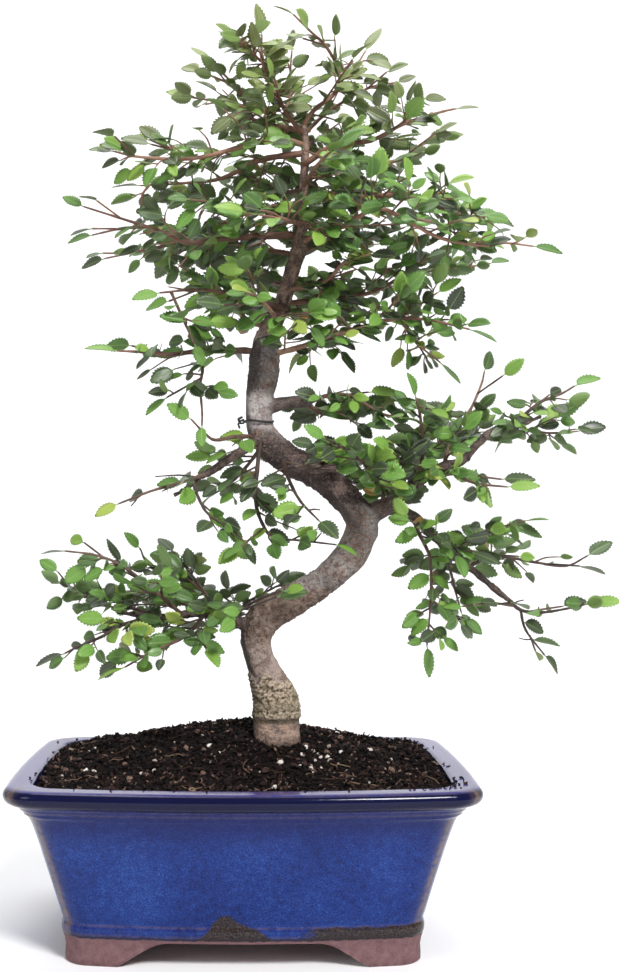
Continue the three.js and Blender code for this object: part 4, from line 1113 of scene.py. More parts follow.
def bezier(*points, steps=8):
    """Points along the curve that some control points draw."""
    degree = len(points) - 1
    curve = []
    for t in np.arange(steps + 1) / steps:
        weights = [math.comb(degree, i) * t**i * (1 - t) ** (degree - i) for i in range(degree + 1)]
        curve.append(tuple(weights @ np.array(points, float)))
    return curve


def arch_outline(top, foot):
    """The curve of the gap between two feet, as (across, height), closed below the ground."""
    knee = ((foot + top) / 2, FOOT_ARCH_HEIGHT * 0.55)
    half = [(foot, -3)] + bezier((foot, 0), (foot - 6, 1), (foot - 8, 4), knee)
    half += bezier(knee, (top + 5, FOOT_ARCH_HEIGHT), (top, FOOT_ARCH_HEIGHT))[1:]
    return half + [(-x, z) for x, z in reversed(half)]


def arch_cutter(name, top, foot, reach, along_y):
    outline = arch_outline(top, foot)
    places = []
    for end in (-reach, reach):
        for x, z in outline:
            places.append((x, end, z) if along_y else (-end, x, z))
    count = len(outline)
    faces = [tuple(range(count)), tuple(range(2 * count - 1, count - 1, -1))]
    for j in range(count):
        k = (j + 1) % count
        faces.append((j, j + count, k + count, k))
    return make_object(name, places, faces)


def cut(target, tools):
    """The target less the tools, which are used up."""
    for tool in tools:
        modify(target, tool.name, "BOOLEAN", operation="DIFFERENCE", solver="EXACT", object=tool)
    done = evaluated(target, target.name)
    for tool in tools:
        bpy.data.objects.remove(tool)
    return done


def make_pot():
    """The pot, with its hollow in the skin and its recess, arches and drain holes cut out."""
    pot = make_object("pot_body", *skin([pot_loop(inset, z) for inset, z in POT_OUTSIDE]))
    inset = POT_OUTSIDE[0][0] + FOOT_THICKNESS
    kept = skin([pot_loop(inset + 1, UNDERSIDE_HEIGHT), pot_loop(inset + 1, 2 * FLOOR_HEIGHT)])
    recess = skin([pot_loop(inset - 0.4, -2), pot_loop(inset + 1, UNDERSIDE_HEIGHT)])
    tools = [make_object("recess", *recess)]
    for name, top, foot, reach in (
        ("front_arch", FRONT_ARCH_TOP, FRONT_ARCH_FOOT, 1.5 * POT_HALF_DEPTH),
        ("side_arch", SIDE_ARCH_TOP, SIDE_ARCH_FOOT, 1.5 * POT_HALF_WIDTH),
    ):
        arch = arch_cutter(name, top, foot, reach, name == "front_arch")
        tools.append(cut(arch, [make_object("kept_floor", *kept)]))
    turns = 2 * math.pi * np.arange(DRAIN_HOLE_SIDES) / DRAIN_HOLE_SIDES
    for x in (-DRAIN_HOLE_X, DRAIN_HOLE_X):
        ring = [x + DRAIN_HOLE_RADIUS * np.cos(turns), DRAIN_HOLE_RADIUS * np.sin(turns)]
        ends = [np.column_stack([*ring, np.full(DRAIN_HOLE_SIDES, z)]) for z in DRAIN_HOLE_ENDS]
        tools.append(make_object("drain", *skin(ends)))
    pot = cut(pot, tools)
    sharp = {"limit_method": "ANGLE", "angle_limit": math.radians(50), "harden_normals": False}
    modify(pot, "soften", "BEVEL", width=FOOT_EDGE_RADIUS * MM, segments=3, **sharp)
    pot.data.materials.append(GLAZE)
    pot.data.polygons.foreach_set("use_smooth", np.full(len(pot.data.polygons), True))
    mark_pot(pot.data)
    return pot


def mark_pot(mesh):
    """Where the pot's glaze is thin on its edges and burnt, kept on its points."""
    x, y, z = ((point_vectors(mesh, "co") - ORIGIN) / MM).T
    insets, heights = np.transpose(POT_OUTSIDE[:POT_LIP_POINTS])
    a, b, _, _, r = plan_at(np.interp(z, heights, insets))
    past_x = np.abs(x) - (a - r)
    past_y = np.abs(y) - (b - r)
    turn = np.arctan2(np.maximum(past_y, 0), np.maximum(past_x, 0))
    corner = np.exp(-(((turn - math.pi / 4) / 0.2) ** 2)) * ((past_x > 0) & (past_y > 0))
    lines = sum(worn * np.exp(-(((z - level) / reach) ** 2)) for level, reach, worn in WORN_LEVELS)
    edges = np.clip(corner * (z > 13) + lines, 0, 1)
    scorch_top = 12 + 7 * np.exp(-(((x + 3) / 14) ** 4)) + 5.5 * np.exp(-(((x + 8) / 6.5) ** 2))
    spot = np.clip((scorch_top - z) / 5 + 0.5, 0, 1)
    right = np.clip((x - 12) / 24, 0, 1) * np.clip((20.5 - z) / 3, 0, 1)
    behind = np.exp(-((((x - 42) / 18) ** 2 + ((z - 16) / 7) ** 2) ** 1.2))
    keep_values(mesh, {"edges": edges, "burnt": np.where(y < 0, np.maximum(spot, 0.66 * right), behind)})


# Soil
def soil_height(x, y):
    """The mound that the soil makes, without its small hills and hollows."""
    dx = (x - SOIL_MOUND["x"]) / SOIL_MOUND["spread_x"]
    dy = (y - SOIL_MOUND["y"]) / SOIL_MOUND["spread_y"]
    return SOIL_EDGE_HEIGHT + SOIL_MOUND["rise"] * np.exp(-(dx * dx + dy * dy) / 2)


def soil_top(x, y):
    """The height of the loose grains at a place."""
    coarse = noise.noise(Vector((x * 0.06, y * 0.06, 3.1)))
    fine = noise.noise(Vector((x * 0.23, y * 0.23, 7.7)))
    return float(soil_height(x, y)) + (1.6 * coarse + 1.0 * fine)


def make_soil():
    edge = pot_loop(SOIL_INSET, SOIL_EDGE_HEIGHT - 1.5, SOIL_GAP)
    loops = [pot_loop(inset, z, SOIL_GAP) for inset, z in SOIL_SIDES] + [edge]
    for share in np.linspace(0.985, 0.02, SOIL_RINGS):
        x = SOIL_MOUND["x"] + (edge[:, 0] - SOIL_MOUND["x"]) * share
        y = SOIL_MOUND["y"] * (1 - share) + edge[:, 1] * share
        z = np.array([soil_top(a, b) for a, b in zip(x, y)]) - SOIL_SETTLE
        loops.append(np.stack([x, y, z], axis=1))
    return make_object("soil_bed", *skin(loops), [SOIL])


def soil_spots(count, rng, spread):
    """Places on the soil's surface inside the rim."""
    spots = []
    edge = pot_loop(SOIL_INSET, 0, SOIL_GAP)
    a, b = edge[:, 0].max() * spread, edge[:, 1].max() * spread
    while len(spots) < count:
        x, y = rng.uniform(-a, a), rng.uniform(-b, b)
        off_trunk = math.dist((x, y), TRUNK_PLACE) > TRUNK_KEEP_OUT
        if (abs(x) / a) ** 8 + (abs(y) / b) ** 8 < 0.93 and off_trunk:
            spots.append((x, y, soil_top(x, y) - SOIL_SETTLE))
    return np.array(spots)


def rough_grain(size, tilt, rng):
    """The points of one grain with the given half sizes, tilted a little and turned at random."""
    grain = LUMP_POINTS * (1 + GRAIN_ROUGHNESS * rng.uniform(-1, 1, (12, 1))) * size
    return grain @ np.array(Euler(rng.uniform(-1, 1, 3) * [tilt, tilt, math.pi]).to_matrix()).T


def grains_object(name, places, tone_top, material, rng):
    count = len(places)
    faces = [tuple(12 * i + v for v in face) for i in range(count) for face in LUMP_FACES]
    values = {"tone": np.repeat(rng.uniform(0, tone_top, count), 12)}
    return make_object(name, places.reshape(-1, 3), faces, [material], False, values)


def make_grains(name, kinds, rng, material, spread=1.0, gathered=(0, 0, 0, 0, 0)):
    """Loose grains on the soil, of kinds that each have a count, sizes, a tilt and a lift."""
    rows = [kind for kind in kinds for _ in range(kind[0])]
    count = len(rows)
    spots = soil_spots(count, rng, spread)
    number, middle_x, middle_y, reach_x, reach_y = gathered
    for i in range(count - number, count):
        x, y = middle_x + reach_x * rng.uniform(-1, 1), middle_y + reach_y * rng.uniform(-1, 1)
        spots[i] = (x, y, soil_top(x, y) - SOIL_SETTLE)
    places = np.zeros((count, 12, 3))
    for i, (_, low, high, tilt, lift) in enumerate(rows):
        size = rng.uniform(low, high) / 2
        places[i] = rough_grain(size, tilt, rng) + spots[i] + [0, 0, lift * size[2] + 0.25 * tilt * size[0]]
    return grains_object(name, places, 1, material, rng)


def make_spilled(name, rng, material):
    """Crumbs that lie on the rim of the pot, most of them beside the soil at its right front corner."""
    places = np.zeros((SPILLED_COUNT, 12, 3))
    for i in range(SPILLED_COUNT):
        size = rng.uniform(*SPILLED_SIZES) / 2
        inset = SPILL_INSET[1] - (SPILL_INSET[1] - SPILL_INSET[0]) * rng.uniform() ** 3
        edge = pot_loop(inset, POT_HEIGHT)
        if rng.uniform() < SPILL_CORNER_SHARE:
            edge = edge[(edge[:, 0] > SPILL_CORNER[0]) & (edge[:, 1] < SPILL_CORNER[1])]
        spot = edge[int(rng.integers(len(edge)))]
        places[i] = rough_grain(size, 0.4, rng) + spot
        places[i, :, 2] += POT_HEIGHT - 0.15 - places[i, :, 2].min()
    return grains_object(name, places, 0.9, material, rng)


def make_fibres(name, rng, material):
    """Thin roots and straws that lie on the soil."""
    fibres = Batch()
    tones = []
    for x, y, z in soil_spots(FIBRE_COUNT, rng, FIBRE_SPREAD):
        turn = rng.uniform(0, 2 * math.pi)
        length = rng.uniform(4, 15)
        curl = rng.uniform(-1.2, 1.2)
        line = []
        for share in np.linspace(-0.5, 0.5, 6):
            px = x + share * length * math.cos(turn + curl * share)
            py = y + share * length * math.sin(turn + curl * share)
            line.append((px, py, max(soil_top(px, py), z) + rng.uniform(0.2, 1.3)))
        radius = rng.uniform(0.14, 0.38)
        fibres.add(*tube(line, [radius * 0.7] + [radius] * 4 + [radius * 0.5], 4))
        tones += [rng.uniform()] * len(fibres.places[-1])
    return make_object(name, fibres.all_places(), fibres.faces, [material], values={"tone": tones})


# Trunk
def zone(z, low, high, soft):
    """1 between two heights, and 0 a little beyond them."""
    return float(np.clip((z - low) / soft + 0.5, 0, 1) * np.clip((high - z) / soft + 0.5, 0, 1))


def trunk_lobes(turns, k):
    return 1 + 0.035 * np.sin(3 * turns + 0.05 * k) + 0.02 * np.sin(5 * turns - 0.11 * k)


def limb_share(co):
    """0 where wood belongs to the trunk, and 1 where it belongs to a limb."""
    nearest = []
    for routes in ([TRUNK], LIMBS):
        gap = np.full(len(co), np.inf)
        for route in routes:
            for p, q in zip(route, route[1:]):
                start, end = vec(*p[:3]), vec(*q[:3])
                step = end - start
                t = np.clip((co - start) @ step / (step @ step), 0, 1)
                away = np.linalg.norm(co - start - t[:, None] * step, axis=1)
                gap = np.minimum(gap, away - (p[3] + (q[3] - p[3]) * t))
        nearest.append(gap)
    return np.clip((nearest[0] - nearest[1]) / LIMB_BLEND, 0, 1)


def bark_relief(x, y, z, limb):
    """How far the bark stands out at a place, and how rough it is there."""
    ragged = 5 * noise.noise(Vector((x * 0.25, y * 0.25, 1.7)))
    corky = zone(z, CORK_COLLAR[0], CORK_COLLAR[1] + ragged, 1.8)
    base = zone(z, *ROOT_FLARE, 2)
    scabby = max(share * zone(z, low, high, soft) for low, high, soft, share in SCABBY_ZONES)
    scabby *= 1 - 0.5 * limb
    p = Vector((x, y, z))
    plates = noise.noise(Vector((x * 0.42, y * 0.42, z * 0.62)))
    grit = noise.noise(p * 1.25)
    waves = noise.noise(p * 0.16 + Vector((9, 2, 4)))
    wrinkle = 1 - abs(math.sin(0.62 * z + 3.2 * noise.noise(Vector((x * 0.09, y * 0.09, z * 0.16)))))
    cork = 0.6 + 0.9 * abs(plates) + 0.85 * grit - 0.5 * wrinkle**4
    knobs = noise.noise(Vector((x * 0.27, y * 0.27, z * 0.2 + 31)))
    calm = 0.42 * waves + 0.3 * knobs + 0.15 * plates + 0.14 * grit
    scab = 0.95 * abs(plates) + 0.5 * grit
    relief = corky * cork + (1 - corky) * (calm + scabby * scab + 0.25 * base * grit)
    return relief, max(corky, 0.9 * scabby)


def make_trunk():
    """The trunk and its limbs, fused into one skin that then gets the bark's relief."""
    stems = Batch()
    for route in [TRUNK] + LIMBS:
        line, widths = smooth_route([p[:3] for p in route], [p[3] for p in route], 6)
        if route is TRUNK:
            stems.add(*tube(line, widths, TRUNK_SIDES, trunk_lobes))
        else:
            stems.add(*tube(line, LIMB_SHARE * widths, LIMB_SIDES))
    wood = make_object("wood", stems.all_places(), stems.faces)
    modify(wood, "fuse", "REMESH", mode="VOXEL", voxel_size=TRUNK_VOXEL * MM)
    modify(wood, "ease", "SMOOTH", factor=0.5, iterations=6)
    wood = evaluated(wood, "trunk_bark")
    mesh = wood.data
    co = (point_vectors(mesh, "co") - ORIGIN) / MM
    normals = point_vectors(mesh, "normal")
    limbs = limb_share(co)
    relief, rough = np.array([bark_relief(*p, limb) for p, limb in zip(co, limbs)]).T
    co += normals * relief[:, None]
    mesh.vertices.foreach_set("co", (co * MM + ORIGIN).ravel())
    keep_values(mesh, {"relief": relief, "rough": rough, "limb": limbs})
    mesh.materials.clear()
    mesh.materials.append(BARK)
    mesh.polygons.foreach_set("use_smooth", np.full(len(mesh.polygons), True))
    return wood


def make_tie():
    """A thin dark tie round the trunk, twisted together at its left."""
    line = []
    for k in range(TIE_STEPS + 1):
        turn = math.radians(TIE_START + TIE_SWEEP * k / TIE_STEPS)
        rise = 0.5 * math.sin(2 * turn) + 1.4 * k / TIE_STEPS
        reach = TIE_RADIUS + 0.12 * math.sin(7 * turn)
        line.append(TIE_CENTRE + vec(reach * math.cos(turn), reach * math.sin(turn), rise))
    end = line[-1]
    line += list(end + np.array(TIE_TAIL))
    tie = Batch()
    tie.add(*tube(line, [TIE_THICKNESS] * len(line), 8))
    tie.add(*tube(*smooth_route(end + np.array(TIE_KNOT), [0.6, 0.65, 0.6, 0.4], 4), 8))
    return make_object("trunk_tie", tie.all_places(), tie.faces, [SCREEN])


# Materials
def put(socket, value):
    """Sets a socket to a number or colour, or links a signal to it."""
    if isinstance(value, Signal):
        socket.id_data.links.new(value.socket, socket)
    elif socket.type == "RGBA":
        socket.default_value = (*value, 1)
    else:
        socket.default_value = value


def add_node(tree, kind, inputs=None, **settings):
    """A node with its settings and inputs."""
    made = tree.nodes.new(kind)
    for key, value in settings.items():
        setattr(made, key, value)
    for key, value in (inputs or {}).items():
        put(made.inputs[key], value)
    return made


class Signal:
    """A number, vector or colour that a material works out at each place."""

    def __init__(self, socket):
        self.socket = socket

    def after(self, kind, inputs, output=0, **settings):
        return Signal(add_node(self.socket.id_data, kind, inputs, **settings).outputs[output])

    def math(self, operation, other=0.0):
        return self.after("ShaderNodeMath", {0: self, 1: other, 2: 0.0}, operation=operation)

    def __add__(self, other):
        return self.math("ADD", other)

    def __sub__(self, other):
        return self.math("SUBTRACT", other)

    def __mul__(self, other):
        return self.math("MULTIPLY", other)

    def vector_math(self, operation, other, output="Vector"):
        return self.after("ShaderNodeVectorMath", {0: self, 1: other}, output, operation=operation)

    def parts(self):
        """The three numbers of a vector."""
        return [Signal(s) for s in add_node(self.socket.id_data, "ShaderNodeSeparateXYZ", {0: self}).outputs]

    def between(self, low, high, to_low=0.0, to_high=1.0):
        """This number turned smoothly from one range to another."""
        inputs = {"Value": self, "From Min": low, "From Max": high, "To Min": to_low, "To Max": to_high}
        return self.after("ShaderNodeMapRange", inputs, interpolation_type="SMOOTHSTEP")

    def within(self, ends, soft=3.0):
        """1 where this number is between two ends, and 0 a little beyond them."""
        low, high = ends
        return self.between(low - soft, low + soft) * self.between(high - soft, high + soft, 1.0, 0.0)

    def ramp(self, *stops):
        """The colour of a ramp of (place, colour) stops."""
        made = add_node(self.socket.id_data, "ShaderNodeValToRGB", {0: self})
        elements = made.color_ramp.elements
        while len(elements) < len(stops):
            elements.new(0.5)
        for element, (place, colour) in zip(elements, stops):
            element.position = place
            element.color = (*colour, 1)
        return Signal(made.outputs[0])

    def pick(self, a, b):
        """The colour between a and b that this share gives."""
        return self.after("ShaderNodeMix", {0: self, 6: a, 7: b}, 2, data_type="RGBA")

    def toward(self, other, share):
        """This colour turned toward another one by a share."""
        return self.after("ShaderNodeMix", {0: share, 6: self, 7: other}, 2, data_type="RGBA")


class Surface:
    """A new material, with the signals that its colour starts from."""

    def __init__(self, name):
        self.material = bpy.data.materials.new(name)
        self.material.use_nodes = True
        self.tree = self.material.node_tree
        self.shader = self.tree.nodes["Principled BSDF"]

    def attribute(self, name, output="Fac"):
        return Signal(add_node(self.tree, "ShaderNodeAttribute", attribute_name=name).outputs[output])

    def place(self, scale=(1, 1, 1)):
        """The place on the object in millimetres, stretched by a scale."""
        coordinates = Signal(add_node(self.tree, "ShaderNodeTexCoord").outputs["Object"])
        factors = tuple(s / MM for s in scale)
        return coordinates.vector_math("ADD", tuple(-ORIGIN)).vector_math("MULTIPLY", factors)

    def speckle(self, waves, detail=3.0, roughness=0.55, distortion=0.0, scale=(1, 1, 1)):
        """A noise from 0 to 1, with so many waves per millimetre."""
        inputs = {"Vector": self.place(scale), "Scale": waves, "Detail": detail}
        inputs |= {"Roughness": roughness, "Distortion": distortion}
        return Signal(add_node(self.tree, "ShaderNodeTexNoise", inputs).outputs["Fac"])

    def finish(self, colour, roughness, height, strength, distance, specular=None):
        """Sets the colour, the roughness and a bump whose distance is in millimetres."""
        inputs = {"Height": height, "Strength": strength, "Distance": distance * MM}
        put(self.shader.inputs["Base Color"], colour)
        put(self.shader.inputs["Roughness"], roughness)
        put(self.shader.inputs["Normal"], height.after("ShaderNodeBump", inputs))
        if specular is not None:
            self.shader.inputs["Specular IOR Level"].default_value = specular
        return self.material


def leaf_material():
    surface = Surface("leaf")
    along, across, luck = surface.attribute("blade", "Vector").parts()
    aside = across.math("ABSOLUTE")
    height = surface.place().parts()[2]
    mottle = surface.speckle(0.5, 4)
    colour = (surface.attribute("tone") + (mottle - 0.5) * 0.3).ramp(
        (0.0, (0.036, 0.045, 0.034)),
        (0.2, (0.065, 0.098, 0.046)),
        (0.42, (0.098, 0.215, 0.048)),
        (0.7, (0.170, 0.360, 0.060)),
        (0.88, (0.26, 0.44, 0.070)),
        (1.0, (0.40, 0.50, 0.10)),
    )
    olive = height.between(352, 408) * luck.between(0.2, 0.6, 0.35, 0.75)
    colour = colour.toward((0.28, 0.32, 0.115), olive)
    midrib = aside.between(0.02, 0.085, 1.0, 0.0)
    side_vein = ((along - aside * 0.17) * 9.1).math("PINGPONG", 0.5).between(0.38, 0.5)
    veins = midrib.math("MAXIMUM", side_vein * 0.45)
    colour = colour.toward((0.34, 0.48, 0.15), veins * 0.5)
    colour = colour.toward((0.34, 0.44, 0.10), aside.between(0.86, 1.05, 0.0, 0.35))
    colour = colour.toward((0.34, 0.17, 0.04), luck.between(0.994, 0.997))
    under = surface.attribute("under")
    colour = colour.toward((0.155, 0.19, 0.10), under * 0.5)
    surface.finish(colour, mottle * 0.2 + 0.25 + under * 0.2, mottle * 0.5 - veins, 0.6, 0.16, 0.6)
    through = colour.toward((0.42, 0.58, 0.05), 0.4)
    through = through.after("ShaderNodeBsdfTranslucent", {"Color": through})
    reflected = Signal(surface.shader.outputs[0])
    joined = through.after("ShaderNodeMixShader", {0: 0.25, 1: reflected, 2: through})
    put(surface.tree.nodes["Material Output"].inputs[0], joined)
    return surface.material


def twig_material():
    surface = Surface("twig_bark")
    grain = surface.speckle(1.3, 4)
    colour = (surface.speckle(0.12, 4) * 0.7 + surface.attribute("tone") * 0.35).ramp(
        (0.25, (0.022, 0.016, 0.013)),
        (0.45, (0.075, 0.042, 0.030)),
        (0.62, (0.19, 0.098, 0.062)),
        (0.85, (0.36, 0.235, 0.155)),
    )
    colour = colour.toward((0.02, 0.014, 0.012), grain.between(0.5, 0.8, 0.0, 0.5))
    height = surface.place().parts()[2]
    colour = colour.toward((0.030, 0.021, 0.018), height.between(225, 285, 0.55, 0.0))
    colour = colour.toward((0.26, 0.125, 0.078), height.between(265, 330, 0.0, 0.4))
    return surface.finish(colour, 0.7, grain, 0.6, 0.25)


def smooth_bark(surface, z, height, blots, rightward):
    """The grey bark with its flecks, the zones of other colours up the trunk, and painted shade on the
    left-facing side in two of them.
    """
    clouds = surface.speckle(0.06, 5, 0.6)
    flecks = surface.speckle(0.7, 3, 0.6, scale=(0.45, 0.45, 1.6))
    relief = surface.attribute("relief")
    colour = clouds.ramp(
        (0.30, (0.105, 0.078, 0.066)),
        (0.43, (0.22, 0.185, 0.168)),
        (0.55, (0.32, 0.285, 0.270)),
        (0.72, (0.42, 0.385, 0.37)),
    )
    colour = colour.toward((0.17, 0.088, 0.055), blots.between(0.53, 0.64, 0.0, 0.85))
    colour = colour.toward((0.31, 0.155, 0.092), flecks.between(0.56, 0.64, 0.0, 0.7))
    colour = colour.toward((0.07, 0.05, 0.042), flecks.between(0.32, 0.40, 0.65, 0.0))
    tan = blots.between(0.3, 0.7).pick((0.135, 0.072, 0.045), (0.36, 0.265, 0.205))
    colour = colour.toward(tan, height.within(TAN_BEND) * 0.8)
    scabs = surface.speckle(0.33, 6, 0.75).between(0.5, 0.57, 0.0, 0.75)
    colour = colour.toward((0.115, 0.060, 0.036), scabs * height.within(SCAB_MARKS))
    warm = z.between(*WARM_FOOT).pick((0.54, 0.36, 0.265), (0.47, 0.37, 0.32))
    pink = blots.between(0.38, 0.6).pick((0.16, 0.092, 0.062), warm)
    colour = colour.toward(pink, height.within(PINK_FOOT) * 0.75)
    pale = blots.between(0.42, 0.6).pick((0.56, 0.51, 0.50), (0.33, 0.27, 0.255))
    colour = colour.toward(pale, z.within(PALE_BAND, 2.0) * 0.9)
    scaly = relief.between(-0.1, 0.55).pick((0.028, 0.016, 0.014), (0.135, 0.085, 0.072))
    scaly = scaly.toward((0.24, 0.195, 0.185), clouds.between(0.5, 0.66, 0.0, 0.55))
    colour = colour.toward(scaly, height.within(DARK_BEND) * 0.95)
    # Dark bark on the leader, and painted shade that darkens it further on its left-facing side.
    leader_left_shade = height.within(SHADED_LEADER) * rightward.between(-0.4, 0.35, 0.95, 0.25)
    colour = colour.toward((0.040, 0.030, 0.028), leader_left_shade)
    # Painted shade on the left-facing side of the trunk in this zone.
    left_edge_shade = height.within(SHADED_LEFT_EDGE) * rightward.between(-0.85, -0.4, 0.9, 0.0)
    colour = colour.toward((0.050, 0.032, 0.022), left_edge_shade)
    upper = blots.between(0.35, 0.62).pick((0.060, 0.034, 0.026), (0.37, 0.235, 0.175))
    colour = colour.toward(upper, height.between(*UPPER_LEADER) * 0.9)
    limb_bark = blots.between(0.38, 0.62).pick((0.040, 0.026, 0.022), (0.17, 0.115, 0.095))
    colour = colour.toward(limb_bark, surface.attribute("limb") * 0.92)
    return colour.toward((0.06, 0.04, 0.032), relief.between(-0.55, -0.2, 0.6, 0.0))


def cork_colour(surface, z, blots):
    """The collar's cork, with moss in it."""
    cork = surface.attribute("relief").between(-0.15, 1.25).ramp(
        (0.0, (0.018, 0.012, 0.007)),
        (0.3, (0.095, 0.066, 0.036)),
        (0.55, (0.27, 0.20, 0.13)),
        (0.9, (0.55, 0.45, 0.345)),
    )
    moss = blots.between(0.45, 0.56) * z.within(MOSSY_COLLAR)
    return cork.toward((0.090, 0.082, 0.022), moss * 0.45)


def bark_material():
    surface = Surface("trunk_bark")
    z = surface.place().parts()[2]
    facing = Signal(add_node(surface.tree, "ShaderNodeNewGeometry").outputs["Normal"])
    blots = surface.speckle(0.17, 5, 0.68, 0.5)
    grain = surface.speckle(1.1, 5, 0.65)
    wander = (blots - 0.5) * 16
    colour = smooth_bark(surface, z, z + wander, blots, facing.parts()[0])
    is_cork = surface.attribute("rough").between(0.75, 0.95) * z.within(CORK_REACH, 1.0)
    colour = colour.toward(cork_colour(surface, z, blots), is_cork)
    groove = (z + wander * 0.15).within(GROOVE, 0.8)
    colour = colour.toward((0.045, 0.040, 0.012), groove * 0.75)
    colour = colour.toward((0.060, 0.036, 0.026), (z + wander * 0.3).between(*EARTHY_FOOT, 0.85, 0.0))
    colour = colour.toward((0.05, 0.034, 0.027), grain.between(0.52, 0.64, 0.0, 0.65))
    colour = colour.toward((0.55, 0.50, 0.46), grain.between(0.34, 0.44, 0.3, 0.0))
    # Painted shade: sides facing down and to the left are darkened as if in shadow.
    painted_shade_below = facing.vector_math("DOT_PRODUCT", (-0.62, 0.0, -0.78), "Value")
    colour = colour.toward((0.042, 0.029, 0.025), painted_shade_below.between(0.15, 0.85, 0.0, 0.7))
    return surface.finish(colour, 0.78, grain + blots * 0.6, 1.0, 1.0)


def glaze_material():
    surface = Surface("blue_glaze")
    z = surface.place().parts()[2]
    fine = surface.speckle(1.5, 3, 0.65)
    mottle = surface.speckle(0.3, 5, 0.65)
    clouds = surface.speckle(0.028, 4, 0.55)
    glaze = (mottle * 0.25 + fine * 0.6 + clouds * 0.3).ramp(
        (0.36, (0.002, 0.005, 0.036)),
        (0.50, (0.004, 0.014, 0.100)),
        (0.61, (0.008, 0.030, 0.180)),
        (0.76, (0.026, 0.080, 0.30)),
    )
    glaze = glaze.toward((0.008, 0.009, 0.080), (z + clouds * 16).between(58, 80, 0.0, 0.6))
    lip = z.between(*LIP_LEVELS[:2]) * z.between(*LIP_LEVELS[2:], 1.0, 0.0)
    glaze = glaze.toward((0.002, 0.002, 0.020), lip * 0.9)
    # Painted reflection: the ledge round the soil is painted a lighter lavender blue than the lip.
    glaze = glaze.toward((0.030, 0.032, 0.200), z.between(*LEDGE_LEVELS) * 0.85)
    worn = surface.attribute("edges") * mottle.between(0.36, 0.56, 0.3, 1.0)
    glaze = glaze.toward((0.125, 0.085, 0.075), worn * 0.95)
    burnt = surface.attribute("burnt") + (mottle - 0.5) * 0.8
    scorch = fine.between(0.42, 0.64).pick((0.013, 0.010, 0.008), (0.062, 0.042, 0.028))
    glaze = glaze.toward(scorch, burnt.between(0.34, 0.62, 0.0, 0.95))
    hem = z + (mottle - 0.5) * 2.6
    glaze = glaze.toward((0.022, 0.016, 0.020), hem.between(*HEM_LEVELS, 0.8, 0.0))
    clay = (mottle * 0.6 + fine * 0.4).ramp(
        (0.3, (0.095, 0.047, 0.050)), (0.55, (0.185, 0.100, 0.106)), (0.8, (0.25, 0.150, 0.155))
    )
    is_clay = hem.between(*CLAY_LEVELS, 1.0, 0.0)
    roughness = fine * 0.08 + 0.07 + worn * 0.12 + is_clay * 0.6
    colour = glaze.toward(clay, is_clay)
    return surface.finish(colour, roughness, mottle * 0.5 + fine * 0.25, 0.22, 0.35, 0.23)


def toned_material(name, roughness, strength, *stops):
    """A matt material whose grains each have a tone of their own."""
    surface = Surface(name)
    grain = surface.speckle(1.4, 4, 0.65)
    colour = (surface.attribute("tone") + (grain - 0.5) * 0.35).ramp(*stops)
    return surface.finish(colour, roughness, grain, strength, 0.4, 0.15)


def soil_material():
    surface = Surface("soil")
    grain = surface.speckle(0.7, 6, 0.7)
    colour = grain.ramp(
        (0.35, (0.003, 0.002, 0.002)), (0.55, (0.010, 0.006, 0.0055)), (0.75, (0.028, 0.017, 0.014))
    )
    return surface.finish(colour, 0.9, grain, 1.0, 1.2, 0.15)


def screen_material():
    surface = Surface("plastic_mesh")
    grain = surface.speckle(1.0, 2)
    return surface.finish(grain.pick((0.010, 0.010, 0.011), (0.022, 0.022, 0.024)), 0.5, grain, 0.2, 0.1)


def floor_material():
    surface = Surface("pale_floor")
    put(surface.shader.inputs["Base Color"], (0.92, 0.92, 0.93))
    put(surface.shader.inputs["Roughness"], 0.9)
    return surface.material


LEAF = leaf_material()
TWIG_BARK = twig_material()
BARK = bark_material()
GLAZE = glaze_material()
SOIL = soil_material()
CRUMBS = toned_material(
    "soil_crumbs", 0.8, 0.9, (0.0, (0.0015, 0.001, 0.001)), (0.5, (0.006, 0.0035, 0.0035)),
    (0.8, (0.018, 0.0095, 0.009)), (0.95, (0.060, 0.032, 0.028)), (1.0, (0.25, 0.165, 0.12)),
)
PERLITE = toned_material(
    "perlite", 0.8, 0.7, (0.0, (0.30, 0.22, 0.17)), (0.5, (0.58, 0.51, 0.46)), (1.0, (0.80, 0.77, 0.74)),
)
FIBRES = toned_material(
    "soil_fibres", 0.8, 0.4, (0.0, (0.012, 0.008, 0.006)), (0.65, (0.05, 0.028, 0.02)),
    (1.0, (0.24, 0.16, 0.105)),
)
SCREEN = screen_material()


# The pieces
def place_piece(piece, slot, *nodes):
    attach(piece, "root")
    if nodes:
        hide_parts(*nodes)


place_piece(make_pot(), "glazed_pot", "pot")
place_piece(make_soil(), "soil", "soil")
rng = np.random.default_rng(SOIL_SEED)
place_piece(make_grains("soil_crumbs", CRUMB_KINDS, rng, CRUMBS), "soil")
perlite = make_grains("perlite_grains", PERLITE_KINDS, rng, PERLITE, PERLITE_SPREAD, PERLITE_GATHERED)
place_piece(perlite, "soil")
place_piece(make_spilled("spilled_crumbs", rng, CRUMBS), "soil")
place_piece(make_fibres("soil_fibres", rng, FIBRES), "soil")
place_piece(make_trunk(), "bark", "trunk")
place_piece(make_tie(), "plastic_mesh")

twigs, leaves, stretches = grow_first()
twigs += grow_more(twigs, leaves, stretches)
look = random_source(LOOK_SEED)
for owner, name in enumerate(SPRAYS):
    spray = make_spray("foliage_" + name, owner, twigs, leaves, look)
    place_piece(spray, "leaves", "spray_" + name)

for name in ("drain_screen_left", "drain_screen_right"):
    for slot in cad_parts[name].material_slots:
        slot.material = SCREEN


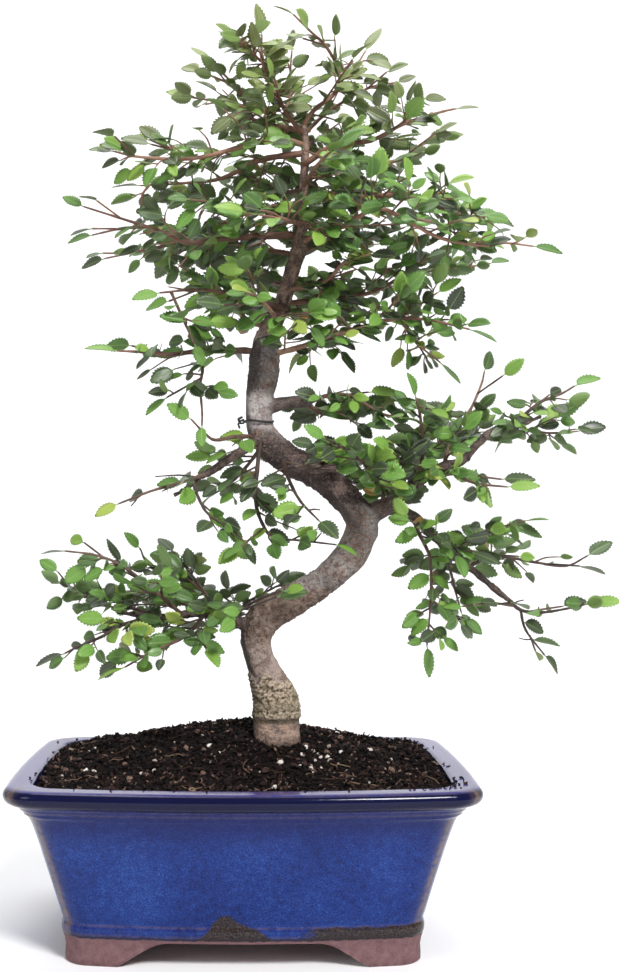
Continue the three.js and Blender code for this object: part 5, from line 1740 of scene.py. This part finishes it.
# Floor, light and camera, with their places in metres
def make_floor():
    """A pale floor that curves up into a backdrop far behind."""
    turns = np.linspace(0, math.pi / 2, FLOOR_BEND_STEPS + 1)
    bend_y = FLOOR_BACK - FLOOR_BEND + FLOOR_BEND * np.sin(turns)
    section = [(FLOOR_FRONT, 0), *zip(bend_y, FLOOR_BEND * (1 - np.cos(turns))), (FLOOR_BACK, BACKDROP_TOP)]
    places = [(x / MM, y / MM, z / MM) for y, z in section for x in (-FLOOR_HALF_WIDTH, FLOOR_HALF_WIDTH)]
    faces = [(2 * i, 2 * i + 1, 2 * i + 3, 2 * i + 2) for i in range(len(section) - 1)]
    make_object("studio_floor", places, faces, [floor_material()])


def add_light(name, place, target, size, power):
    """A round soft light that looks at its target."""
    data = bpy.data.lights.new(name, "AREA")
    data.shape = "DISK"
    data.size = size
    data.energy = power
    light = link_object(name, data)
    light.location = place
    light.rotation_euler = (Vector(target) - Vector(place)).to_track_quat("-Z", "Y").to_euler()


make_floor()
middle = (float(ORIGIN[0]), float(ORIGIN[1]), TREE_MIDDLE)
add_light("key_light", (0.6, -1.25, 1.4), middle, 0.5, 38)
add_light("fill_light", (-1.3, -1.1, 0.9), middle, 0.8, 6)
add_light("top_light", (-0.1, 0.3, 1.7), middle, 1.1, 9)
add_light("backdrop_light", (0, 0.55, 1.9), (0, 1.4, 0.5), 1.6, 12)
world = bpy.data.worlds.new("studio")
world.use_nodes = True
world.node_tree.nodes["Background"].inputs[0].default_value = (1, 1, 1, 1)
world.node_tree.nodes["Background"].inputs[1].default_value = WORLD_STRENGTH
bpy.context.scene.world = world

camera_data = bpy.data.cameras.new("camera")
camera_data.sensor_fit = "AUTO"
camera_data.sensor_width = SENSOR
camera_data.lens = SENSOR * FOCAL_PIXELS / IMAGE_HEIGHT
camera_data.shift_x = SHIFT_RIGHT_PIXELS / IMAGE_HEIGHT
camera_data.shift_y = SHIFT_UP_PIXELS / IMAGE_HEIGHT
camera_data.clip_start = 0.01
camera = link_object("camera", camera_data)
camera.location = Vector(ORIGIN) + Vector((0, -CAMERA_DISTANCE, CAMERA_HEIGHT)) * MM
camera.rotation_euler = (math.pi / 2, 0, 0)
bpy.context.scene.camera = camera
bpy.context.scene.view_settings.view_transform = "Standard"
